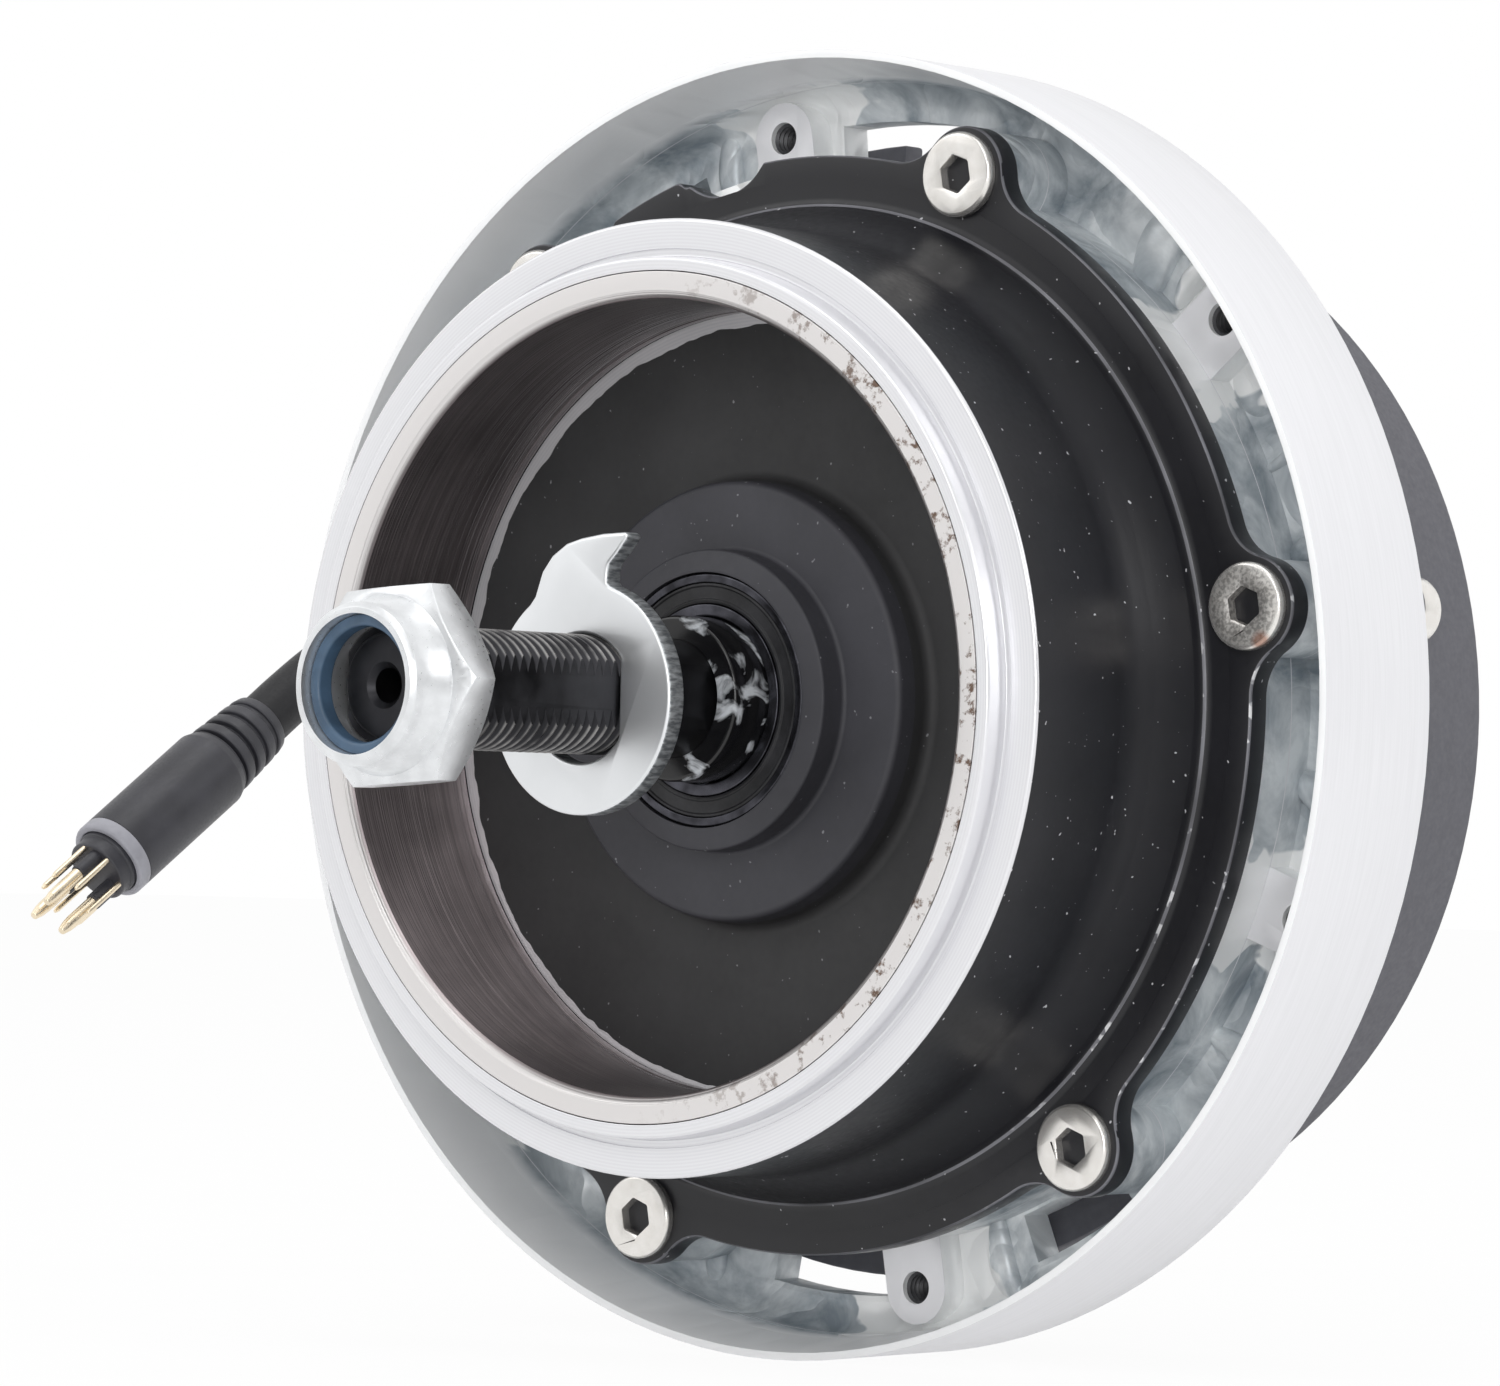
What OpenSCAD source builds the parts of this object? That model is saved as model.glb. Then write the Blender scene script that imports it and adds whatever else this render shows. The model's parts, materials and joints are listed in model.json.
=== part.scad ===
// E-bike hub motor with a drum brake. The axle lies along Y, the brake drum opens towards -Y, Z is up.
// The origin is on the axle, halfway across the bright outer band.
// A size called "front" or "reach" is a distance from that mid-plane towards -Y, and "back" is towards +Y.

/* [Outer band and shell] */
// Radial reach of the bright outer band past the circle of the threaded bosses
band_reach = 6.7; // [6:0.1:15]
// Width of the outer band
band_w = 18; // [16:0.5:26]
// Wall of the outer band
band_wall = 2.7; // [2:0.1:3.5]
// Radial step from the cover screws' circle in to the motor housing's outside
housing_step = 1.4; // [1:0.1:2]
// Wall of the motor housing, whose bore seats the ring gear
housing_wall = 6.2; // [5.2:0.1:6.5]
// Thickness of the web between housing and band
web_t = 4; // [3:0.25:5]
// Width of the web's through windows, in degrees
window_angle = 15; // [8:1:18]

/* [Wheel screws] */
// Radial step from the cover screws' circle out to the threaded bosses that carry the wheel
boss_step = 3.4; // [3:0.1:3.9]
// Number of threaded bosses
wheel_screws = 6; // [3:1:6]
// Hole in each boss, the core of an M4 thread
wheel_hole_d = 3.4; // [3:0.1:4.2]
// Radius of a boss's round end
wheel_boss_r = 3.8; // [3.2:0.1:4.2]
// Distance of the boss faces behind the mid-plane
wheel_boss_back = 1.7; // [0.5:0.1:3]

/* [Drum cover] */
// Outside radius of the brake drum, from which the other large radii follow
drum_r = 48.5; // [47.5:0.1:54]
// Reach of the drum's rim in front of the mid-plane
drum_front = 30.2; // [28:0.1:34]
// Reach of the drum's floor in front of the mid-plane
floor_front = 13.9; // [12.5:0.1:15]
// Thickness of the drum's floor
floor_t = 4; // [3:0.1:4.6]
// Radius of the raised disc on the floor
disc_r = 22.5; // [20:0.1:26]
// Height of the raised disc
disc_rise = 4.6; // [3:0.1:5.5]
// Radius of the bearing boss
boss_r = 15.4; // [14.8:0.1:17]
// Height of the bearing boss above the disc
boss_rise = 3.9; // [3.5:0.1:5]
// Radial reach of the cover's flange past the drum
flange_reach = 8.5; // [7.9:0.1:9.4]
// Thickness of the flange
flange_t = 3; // [2.4:0.1:4]
// Reach of the flange's back face in front of the mid-plane
flange_front = 3.6; // [2:0.1:5]

/* [Cover screws] */
// Radial step from the drum out to the cover screws' circle
screw_step = 9.1; // [8.8:0.1:9.5]
// Number of cover screws
cover_screws_n = 6; // [3:1:6]
// Turn of the first cover screw from +X, in degrees
cover_turn = 9.7; // [5:0.1:15]
// Radius of the flange's lobe round each screw
lobe_r = 5.05; // [4.8:0.05:5.4]
// Fillet between lobe and flange
lobe_fillet = 5.5; // [4:0.5:7]
// Diameter of the flat screw heads
head_d = 8.8; // [8:0.1:9.4]
// Height of the screw heads
head_h = 1.15; // [0.9:0.05:1.4]
// Thread diameter of the cover screws
screw_d = 5; // [4:0.5:5.5]
// Length of the cover screws under the head
screw_l = 10; // [8:0.5:11]
// Hexagon socket, across flats
socket_af = 3.5; // [3:0.1:4]

/* [Brake liner] */
// Radial step from the drum's outside in to the friction surface
brake_step = 8.25; // [7.75:0.05:9]
// Wall of the iron liner
liner_wall = 2.75; // [2.2:0.05:3]
// Rise of the liner's lip in front of the rim
lip_rise = 2.4; // [1.5:0.1:3]
// Wall of the aluminium lip round the liner
lip_wall = 1.4; // [1:0.1:1.8]

/* [Axle] */
// Thread diameter of the axle
axle_d = 12; // [11.6:0.1:12.4]
// Width across the axle's two flats
axle_flats = 10; // [9.6:0.1:10.4]
// Reach of the axle's front end
axle_front = 70.2; // [69:0.5:76]
// Length of the axle behind its thick part
axle_tail = 30; // [28:0.5:38]
// Diameter of the axle's thick rear part
journal_d = 17; // [16.8:0.1:17.4]
// Back end of the thick rear part
journal_back = 46; // [44:0.5:48]
// Distance from the axle's collar to the front thread
thread_gap = 12.8; // [9:0.1:16]
// Pitch of the thread
thread_pitch = 1.25; // [1:0.25:1.5]
// Cable bore in the axle's rear half
axle_bore_d = 7.4; // [7:0.1:7.6]
// Outside diameter of the collar in front of the bearing
collar_d = 16.9; // [16.5:0.1:17]
// Reach of the collar's front face
collar_front = 27.2; // [26:0.1:29]

/* [Nut and washer] */
// Lock nut across flats
nut_af = 19; // [18:0.5:20]
// Height of the nut's hexagon
nut_hex_h = 4.8; // [4.5:0.1:6]
// Height of the nut's round dome
nut_dome_h = 4.5; // [4:0.1:5]
// Turn of the nut, in degrees
nut_turn = 4; // [0:1:30]
// Radius of the tab washer's disc
washer_r = 11.7; // [11:0.1:12.5]
// Thickness of the tab washer
washer_t = 2.4; // [2:0.1:3]
// Gap between the axle's collar and the tab washer
washer_gap = 11.8; // [9:0.1:15]
// Clearance between tab washer and axle
washer_play = 0.45; // [0.3:0.05:0.5]

/* [Rear casing] */
// Radial reach of the rear casing's flange past the housing
rear_flange_reach = 3.6; // [2.3:0.1:4.3]
// Radial step from the housing in to the rear casing's outside
casing_step = 0.4; // [0:0.1:1]
// Wall of the rear casing
casing_wall = 3; // [2:0.1:3.3]
// Front face of the rear flange
rear_flange_back = 10.8; // [10.2:0.1:11.6]
// Outside of the rear casing's end wall
casing_back = 37.3; // [37:0.1:40]
// Radial step from the housing out to the rear screws' circle
rear_screw_step = 4.3; // [3.8:0.1:4.8]
// Thread diameter of the rear screws
rear_screw_d = 4; // [3:0.5:4]

/* [Gears] */
// Rim of the ring gear outside its teeth
ring_rim = 6.85; // [6.4:0.05:8]
// Teeth of the sun gear
sun_teeth = 18; // [18:6:18]
// Teeth of each planet gear
planet_teeth = 33; // [33:1:33]
// Width of the planet gears
gear_w = 8.6; // [7:0.1:8.8]
// Reach of the planet gears' front faces
gear_front = 0.6; // [0.4:0.1:0.9]
// Backlash between two teeth
backlash = 0.3; // [0.2:0.05:0.4]
// Diameter of the planet pins
planet_pin_d = 6; // [5:0.5:7]
// Wall of the planet gears' bushes
bush_wall = 2; // [1.5:0.1:2.5]

/* [Motor] */
// Gap between the spinning rotor can and the casing
rotor_gap = 1.4; // [1:0.1:2.4]
// Wall of the rotor can
rotor_wall = 2.2; // [1.6:0.1:2.6]
// Thickness of the magnets
magnet_t = 2.4; // [1.8:0.1:3]
// Number of magnets
magnets_n = 20; // [16:2:24]
// Air gap between magnets and stator
air_gap = 0.6; // [0.4:0.1:0.9]
// Number of stator teeth and coils
slots_n = 18; // [12:3:18]
// Length of the laminated stack
stack_l = 12; // [10:0.5:12.5]
// Front face of the laminated stack
stack_back = 16; // [15.8:0.1:16.3]
// Thickness of the coils round each tooth
coil_t = 1.6; // [1:0.1:1.9]

/* [Cable] */
// Diameter of the motor cable
cable_d = 6.8; // [6.4:0.1:7]
// Diameter of the connector's body
plug_d = 10.2; // [9.5:0.1:11]
// Length of the connector's body
plug_l = 29.5; // [27:0.5:32]
// Length of the cable's strain relief
boot_l = 20; // [20:1:24]

/* [Hidden] */
$fn = 96;
eps = 0.01;
// Gap between pieces that are seated in one another
seat = 0.02;
// Gap between a shaft or screw and its clearance hole
fit = 0.05;
// Gap between pieces that turn past one another
clear = 0.5;

// Large radii, from the drum outwards and then inwards
cover_pcd = 2 * (drum_r + screw_step);
flange_r = drum_r + flange_reach;
wheel_pcd = cover_pcd + 2 * boss_step;
band_r = wheel_pcd / 2 + band_reach;
housing_r = cover_pcd / 2 - housing_step;
housing_bore_r = housing_r - housing_wall;
casing_r = housing_r - casing_step;
rear_flange_r = housing_r + rear_flange_reach;
rear_pcd = 2 * (housing_r + rear_screw_step);
rotor_r = casing_r - casing_wall - rotor_gap;

// Bearings, shafts and their play
axle_r = axle_d / 2;
journal_r = journal_d / 2;
collar_r = collar_d / 2;
ball_play = 0.15;
ring_wall = 1.3;
front_bearing_r = 13;
front_bearing_w = 5;
rear_bearing_r = 15;
rear_bearing_w = 7;
rear_ring_wall = 1.9;
rotor_bearing_r = 10.5;
rotor_bearing_w = 5;

// Places along the axle: reaches to the front, then Y coordinates
nut_front = axle_front - nut_hex_h;
washer_front = collar_front + washer_gap;
thread_front = collar_front + thread_gap;
axle_back = journal_back + axle_tail;
rim_y = -drum_front;
lip_y = rim_y - lip_rise;
floor_y = -floor_front;
floor_back_y = floor_y + floor_t;
disc_y = floor_y - disc_rise;
boss_y = disc_y - boss_rise;
boss_chamfer = 0.7;
front_bearing_y = boss_y + 0.2;
flange_back_y = -flange_front;
flange_y = flange_back_y - flange_t;
band_front_y = -band_w / 2;
band_back_y = band_w / 2;
web_y = band_back_y - web_t;
shell_back_y = rear_flange_back;
lip_t = 1;
shell_lip_y = shell_back_y - lip_t - 1.2;
ring_gear_y = -1;
gear_y = -gear_front;
gear_back_y = gear_y + gear_w;
sun_flange_y = gear_back_y + 0.5;
rotor_hub_y = sun_flange_y + 1.5;
rotor_disc_y = shell_lip_y + lip_t + 0.8;
rotor_disc_t = 3;
rotor_bearing_y = rotor_hub_y + 0.2;
journal_y = rotor_bearing_y + rotor_bearing_w;
stack_back_y = stack_back + stack_l;
coil_over = 1.7;
can_back_y = stack_back_y + 1;
board_y = stack_back_y + coil_over + 0.5;
board_t = 1.2;
end_wall_t = casing_wall;
casing_back_y = casing_back;
seal_t = 1.5;
rear_bearing_y = casing_back_y - seal_t - rear_bearing_w;
stator_hub_y = stack_back + 1;
spacer_l = 3.8;
stator_hub_back_y = rear_bearing_y - spacer_l;
carrier_t = 4.2;
carrier_y = gear_y - 1.2 - carrier_t;
clutch_back_y = gear_y - 1.4;
clutch_y = floor_back_y + 0.7;
clip_t = 0.9;

// Radii
housing_step_r = casing_r - casing_wall;
liner_r = drum_r - brake_step;
liner_out_r = liner_r + liner_wall;
lip_r = liner_out_r + lip_wall;
groove_w = 1;
ring_teeth = sun_teeth + 2 * planet_teeth;
gear_module = (housing_bore_r - ring_rim) / (ring_teeth / 2 + 1.15);
sun_r = gear_module * sun_teeth / 2;
planet_r = gear_module * planet_teeth / 2;
planet_offset = sun_r + planet_r;
tooth_up = 0.9 * gear_module;
tooth_down = 1.15 * gear_module;
pressure = 20;
planet_count = 3;
pin_r = planet_pin_d / 2;
bush_r = pin_r + fit + bush_wall;
race_r = axle_r + seat + 2.6;
roller_r = 1.65;
clutch_bore_r = race_r + 2 * roller_r + 0.1;
clutch_hub_r = clutch_bore_r + 3.6;
roller_count = 12;
sun_bore_r = axle_r + clear;
rotor_in_r = rotor_r - rotor_wall;
magnet_in_r = rotor_in_r - magnet_t;
stator_r = magnet_in_r - air_gap;
core_r = 31;
core_bore_r = 24;
tooth_w = 4;
shoe_t = 1.6;
board_r = 42;
board_bore_r = 21;
bearing_boss_r = rear_bearing_r + 3.5;
rear_seal_r = rear_bearing_r - 2.5;
lead_r = 1.4;
nut_bore_r = axle_r + fit;
dome_in_r = 6.8;
nylon_in_r = 5.6;
nylon_t = 2.1;
cable_r = cable_d / 2;
cable_bore_r = axle_bore_d / 2;
core_lead_r = cable_bore_r - 0.3;

rear_boss_r = rear_screw_d / 2 + 2.4;

// Turns about the axle, in degrees from +X towards +Z
wheel_turn = cover_turn + 180 / cover_screws_n;
window_turns = [87, 120, 267, 300];
window_r = wheel_pcd / 2 + 0.6;
notch_turn = 101.5;
notch_r = 7;
notch_depth = 2.4;
pad_from = 107.5;
pad_to = 118;
pad_rise = 0.9;
casing_notch_turn = 87;
casing_notch_w = 8;
casing_notch_depth = 2.6;

// Route of the motor cable behind the hub, from the boot to the connector
cable_route = [[0, 102, 0], [-1, 110, 0], [-4, 118, 1], [-8, 125, 2], [-14, 131, 3], [-21, 136, 5],
    [-29, 139, 7], [-38, 141, 9], [-47, 142, 11], [-57, 141, 13], [-67, 139, 15], [-77, 135, 17],
    [-86, 130, 18], [-95, 123, 19], [-103, 115, 20], [-110, 106, 20], [-115, 97, 19], [-119, 88, 18],
    [-122, 79, 16], [-124, 71, 13.5], [-125.5, 63, 9.8], [-126.3, 56.5, 6.2], [-126.7, 51, 2.6]];
plug_turn = -93.6;
plug_tilt = 125.3;
plug_neck_l = 7;
plug_front = [-128.5, 22, -18];
collar_l = 1.8;
insert_l = 2.2;
thick_pins = 3;
thin_pins = 6;

// A flat 2D shape in the wheel's plane, X to the right and Z up, thickened from one Y to another
module slab(front, back) {
    translate([0, back, 0])
        rotate([90, 0, 0])
            linear_extrude(back - front)
                children();
}

// A profile of [radius, Y] points turned about the axle
module turned(points) {
    rotate([-90, 0, 0])
        rotate_extrude()
            polygon(points);
}

// A plain disc on the axle
module disc(r, front, back) {
    translate([0, front, 0])
        rotate([-90, 0, 0])
            cylinder(r = r, h = back - front);
}

// A ring on the axle
module ring(out_r, in_r, front, back) {
    turned([[in_r, front], [out_r, front], [out_r, back], [in_r, back]]);
}

// Copies round the axle, the first one turned from +X towards +Z
module around(count, first = 0) {
    for (k = [0 : count - 1])
        rotate([0, -first - 360 / count * k, 0])
            children();
}

// A straight rod along Y at a distance from the axle
module rod(r, at, front, back) {
    translate([at, 0, 0])
        disc(r, front, back);
}

// Place on a circle, in the wheel's plane
function polar(r, a) = [r * cos(a), r * sin(a)];

// A sector of a ring, in the wheel's plane
module sector(in_r, out_r, from, to) {
    steps = 8;
    far = out_r * 1.3;
    intersection() {
        difference() {
            circle(out_r);
            circle(in_r);
        }
        polygon(concat([[0, 0]], [for (k = [0 : steps]) polar(far, from + (to - from) * k / steps)]));
    }
}

// Hexagonal bar along Y
module hex_bar(af, front, back, turn = 0) {
    slab(front, back)
        rotate(turn)
            circle(r = af / sqrt(3), $fn = 6);
}

// Involute gear teeth: the turn of a tooth's flank at each radius
function inv(base, r) = let (t = sqrt(max(0, pow(r / base, 2) - 1))) t * 180 / PI - atan(t);
function flank(teeth, pitch_r, r, thin) =
    let (base = pitch_r * cos(pressure))
    90 / teeth - thin / 2 / pitch_r * 90 / PI + inv(base, pitch_r) - inv(base, r);

// Outline of a gear with a tooth centred on +X
module gear_outline(teeth, thin, up, down) {
    pitch_r = gear_module * teeth / 2;
    steps = 3;
    rs = [for (k = [0 : steps]) pitch_r - down + (up + down) * k / steps];
    polygon([for (n = [0 : teeth - 1]) each concat(
        [for (k = [0 : steps]) polar(rs[k], 360 / teeth * n - flank(teeth, pitch_r, rs[k], thin))],
        [for (k = [steps : -1 : 0]) polar(rs[k], 360 / teeth * n + flank(teeth, pitch_r, rs[k], thin))])]);
}

// Ball bearing parts: raceways are cut round the balls with a little play
module bearing_ring(in_r, out_r, pitch_r, ball_r, front, width) {
    difference() {
        ring(out_r, in_r, front, front + width);
        translate([0, front + width / 2, 0])
            rotate([-90, 0, 0])
                rotate_extrude()
                    translate([pitch_r, 0])
                        circle(ball_r + ball_play);
    }
}
module bearing_balls(pitch_r, ball_r, front, width) {
    count = floor(PI * pitch_r / ball_r * 0.8);
    around(count)
        translate([pitch_r, front + width / 2, 0])
            sphere(ball_r, $fn = 32);
}

// The axle: threads and flats at both ends, a thick journal and a cable bore behind
module thread_rod(front, back) {
    turns = floor((back - front) / thread_pitch);
    depth = 0.6 * thread_pitch;
    turned(concat([[0, front], [axle_r - depth, front]],
        [for (k = [0 : turns - 1]) each [
            [axle_r, front + thread_pitch * (k + 0.5)],
            [axle_r - depth, front + thread_pitch * (k + 1)]]],
        [[axle_r - depth, back], [0, back]]));
}
module axle() {
    color("#232326")
        difference() {
            union() {
                intersection() {
                    union() {
                        thread_rod(-axle_front, -thread_front);
                        disc(axle_r, -thread_front - eps, collar_y());
                        disc(axle_r, journal_back - eps, journal_back + 2.5);
                        thread_rod(journal_back + 2.5 - eps, axle_back);
                    }
                    translate([-axle_flats / 2, -axle_front, -axle_r])
                        cube([axle_flats, axle_front + axle_back, axle_d]);
                }
                disc(axle_r, collar_y() - eps, journal_y);
                disc(journal_r, journal_y, journal_back);
            }
            disc(cable_bore_r, stator_hub_back_y - 1, axle_back + eps);
            lead_hole(lead_r + 0.3);
            translate([0, -axle_front - eps, 0])
                rotate([-90, 0, 0])
                    cylinder(r1 = 2.3, r2 = 0, h = 4);
            key_slot(0);
        }
}
function collar_y() = -collar_front + 3;

// The key between axle and clutch, and the slot that holds it
key_w = 4;
key_h = 4;
key_l = 5.6;
module key_slot(play) {
    translate([-key_w / 2 - play, clutch_y + 1 - play, race_r - 1 - key_h - play])
        cube([key_w + 2 * play, key_l + 2 * play, key_h + 2 * play]);
}
module clutch_key() {
    color("#9a9a9e")
        key_slot(-seat);
}

// The hole that lets the motor's leads out of the axle, towards +Z
lead_y = stator_hub_back_y + spacer_l / 2;
lead_top = core_bore_r - 1.8;
module lead_hole(r) {
    translate([0, lead_y, 0])
        cylinder(r = r, h = journal_r + 1);
}

// A collar on the axle that carries the front bearing
module axle_collar() {
    chamfer = 0.45;
    color("#19191b")
        turned([[axle_r + seat, -collar_front + chamfer], [axle_r + seat + chamfer, -collar_front],
            [collar_r - chamfer, -collar_front], [collar_r, -collar_front + chamfer],
            [collar_r, clutch_y - seat], [axle_r + seat, clutch_y - seat]]);
}

// The tab washer hangs on the axle, its hook pointing up
module tab_washer() {
    hole_r = axle_r + washer_play;
    front = -washer_front - washer_t;
    color("#c9cacc")
        translate([0, 0, 0.05 - washer_play])
            difference() {
                union() {
                    disc(washer_r, front, -washer_front);
                    slab(front, -washer_front)
                        tab_outline();
                }
                slab(front - 1, 1 - washer_front)
                    intersection() {
                        circle(hole_r);
                        square([axle_flats + 2 * 0.1, 3 * hole_r], center = true);
                    }
            }
}
// The hook's outline follows the washer's size
module tab_outline() {
    k = washer_r / 11.7;
    polygon(k * [[-9.1, 6.8], [-6.3, 10.2], [-5.4, 12.7], [-4.1, 14.3], [-2.2, 15.5], [-0.3, 16],
        [2.5, 16.4], [5.3, 16.5], [5.9, 16.2], [4.5, 14.5], [3.3, 13.3], [3.1, 11.4], [4.8, 10.6],
        [3, 8], [-3, 7.5], [-8, 5]]);
}

// A lock nut with a domed front that holds a nylon ring
module nut_body(turn) {
    corner_r = nut_af / sqrt(3);
    edge = 1.1;
    hex_y = -nut_hex_h;
    dome_y = hex_y - nut_dome_h;
    difference() {
        union() {
            intersection() {
                hex_bar(nut_af, hex_y, 0, turn);
                turned([[0, hex_y], [nut_af / 2 - 0.3, hex_y], [corner_r + 0.1, hex_y + edge],
                    [corner_r + 0.1, -edge], [nut_af / 2 - 0.2, 0], [0, 0]]);
            }
            turned([[0, dome_y], [dome_in_r + 0.6, dome_y], [dome_in_r + 1.1, dome_y + 0.5],
                [dome_in_r + 1.2, dome_y + 2], [dome_in_r + 1.6, dome_y + 3.4], [nut_af / 2 - 0.7, hex_y],
                [nut_af / 2 - 0.7, hex_y + 0.5], [0, hex_y + 0.5]]);
        }
        disc(nut_bore_r, dome_y - 1, 1);
        disc(dome_in_r, dome_y - 1, dome_y + 1.2 + nylon_t);
        turned([[0, -0.5], [nut_bore_r, -0.5], [nut_bore_r + 0.6, eps], [0, eps]]);
    }
}
module nut_ring() {
    front = -nut_hex_h - nut_dome_h + 1.2;
    ring(dome_in_r - seat, nylon_in_r, front, front + nylon_t);
}
module lock_nut() {
    color("#c4c5c7")
        translate([0, -nut_front, 0])
            nut_body(nut_turn);
}
module lock_nut_nylon_ring() {
    color("#3f5b76")
        translate([0, -nut_front, 0])
            nut_ring();
}

// Front bearing between the collar and the drum cover
front_pitch_r = (collar_r + fit + ring_wall + front_bearing_r - 1) / 2;
front_ball_r = 1.4;
module front_bearing_inner_ring() {
    color("#8b8c90")
        bearing_ring(collar_r + fit, collar_r + fit + ring_wall, front_pitch_r, front_ball_r,
            front_bearing_y, front_bearing_w);
}
module front_bearing_balls() {
    color("#b8b9bd")
        bearing_balls(front_pitch_r, front_ball_r, front_bearing_y, front_bearing_w);
}
module front_bearing_outer_ring() {
    color("#8b8c90")
        bearing_ring(front_bearing_r - 1, front_bearing_r - seat, front_pitch_r, front_ball_r,
            front_bearing_y, front_bearing_w);
}
module front_bearing_seal() {
    seal_in_r = collar_r + fit + ring_wall + 0.2;
    color("#1d1d1f")
        ring(front_bearing_r - 1 - seat, seal_in_r, front_bearing_y, front_bearing_y + 0.7);
}

// The cover: brake drum, floor, bearing boss and flange in one piece
module lobed_flange() {
    screw_at = cover_pcd / 2;
    to_origin = flange_r + lobe_fillet;
    to_lobe = lobe_r + lobe_fillet;
    cos_swing = (pow(screw_at, 2) + pow(to_origin, 2) - pow(to_lobe, 2)) / (2 * screw_at * to_origin);
    swing = acos(cos_swing);
    kink = 0.02;
    circle(flange_r);
    for (k = [0 : cover_screws_n - 1])
        rotate(cover_turn + 360 / cover_screws_n * k) {
            translate([screw_at, 0])
                circle(lobe_r, $fn = 48);
            difference() {
                polygon([[0, 0], polar(to_origin, -swing), [screw_at, 0], polar(to_origin, swing)]);
                for (side = [-1, 1])
                    translate(polar(to_origin, side * swing))
                        circle(lobe_fillet + kink, $fn = 48);
            }
        }
}
module flange_outline() {
    difference() {
        union() {
            lobed_flange();
            sector(flange_r - 2, flange_r + pad_rise, pad_from, pad_to);
        }
        translate(polar(flange_r - notch_depth + notch_r, notch_turn))
            circle(notch_r, $fn = 48);
    }
}
module drum_cover() {
    spigot_r = housing_bore_r - seat;
    color("#26272a")
        difference() {
            union() {
                turned([[0, floor_y], [liner_out_r, floor_y], [liner_out_r, lip_y], [lip_r, lip_y],
                    [lip_r + groove_w * 0.2, rim_y + 0.3], [lip_r + groove_w, rim_y + 0.3],
                    [lip_r + groove_w, rim_y], [drum_r - 0.3, rim_y], [drum_r, rim_y + 0.3],
                    [drum_r, flange_y - 8.6], [drum_r + 1.1, flange_y - 5.6], [drum_r + 2.1, flange_y - 3.1],
                    [drum_r + 2.7, flange_y - 1.6], [drum_r + 2.9, flange_y], [drum_r + 5, flange_y],
                    [drum_r + 5, flange_back_y], [spigot_r, flange_back_y], [spigot_r, ring_gear_y - 0.3],
                    [spigot_r - 3, ring_gear_y - 0.3], [spigot_r - 6, floor_back_y], [0, floor_back_y]]);
                slab(flange_y, flange_back_y)
                    difference() {
                        flange_outline();
                        circle(housing_bore_r);
                    }
                disc(disc_r, disc_y, floor_y + eps);
                turned([[0, boss_y], [boss_r - 2.15, boss_y], [boss_r, boss_y + boss_chamfer],
                    [boss_r, disc_y + eps], [0, disc_y + eps]]);
            }
            disc(front_bearing_r, boss_y - 1, front_bearing_y + front_bearing_w + seat);
            disc(front_bearing_r - 1.5, boss_y, floor_back_y + 1);
            around(cover_screws_n, cover_turn)
                rod(screw_d / 2 + 0.25, cover_pcd / 2, flange_y - 1, flange_back_y + 1);
        }
}

// The iron ring that the brake shoes rub on
module brake_liner() {
    bevel = 0.8;
    color("#8d837f")
        turned([[liner_r + bevel, lip_y], [liner_out_r - seat, lip_y], [liner_out_r - seat, floor_y - seat],
            [liner_r, floor_y - seat], [liner_r, lip_y + bevel]]);
}

// Flat-headed screws with hexagon sockets
module cover_screws() {
    head_edge = 0.3;
    tip_y = flange_y + screw_l;
    color("#c9c6c2")
        around(cover_screws_n, cover_turn)
            translate([cover_pcd / 2, 0, 0])
                difference() {
                    union() {
                        turned([[0, flange_y - head_h], [head_d / 2 - head_edge, flange_y - head_h],
                            [head_d / 2, flange_y - head_h + head_edge], [head_d / 2, flange_y],
                            [0, flange_y]]);
                        disc(screw_d / 2 - fit, flange_y - eps, tip_y);
                    }
                    hex_bar(socket_af, flange_y - head_h - 1, flange_y + 1.4, 30);
                }
}

// Round ends in the wheel's plane: the screw pillars, and the bosses of the rear screws
module cover_pillars(r) {
    for (k = [0 : cover_screws_n - 1])
        rotate(cover_turn + 360 / cover_screws_n * k)
            translate([cover_pcd / 2, 0])
                circle(r);
}
module rear_bosses(r) {
    for (k = [0 : cover_screws_n - 1])
        rotate(cover_turn + 360 / cover_screws_n * k)
            translate([rear_pcd / 2, 0])
                circle(r);
}

// The web's windows, which stay clear of the pillars
module web_windows(pillar_r) {
    land = 0.3;
    difference() {
        for (a = window_turns)
            sector(housing_r + land, window_r, a - window_angle / 2, a + window_angle / 2);
        cover_pillars(pillar_r + land);
        rear_bosses(rear_boss_r + land);
    }
}

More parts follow.
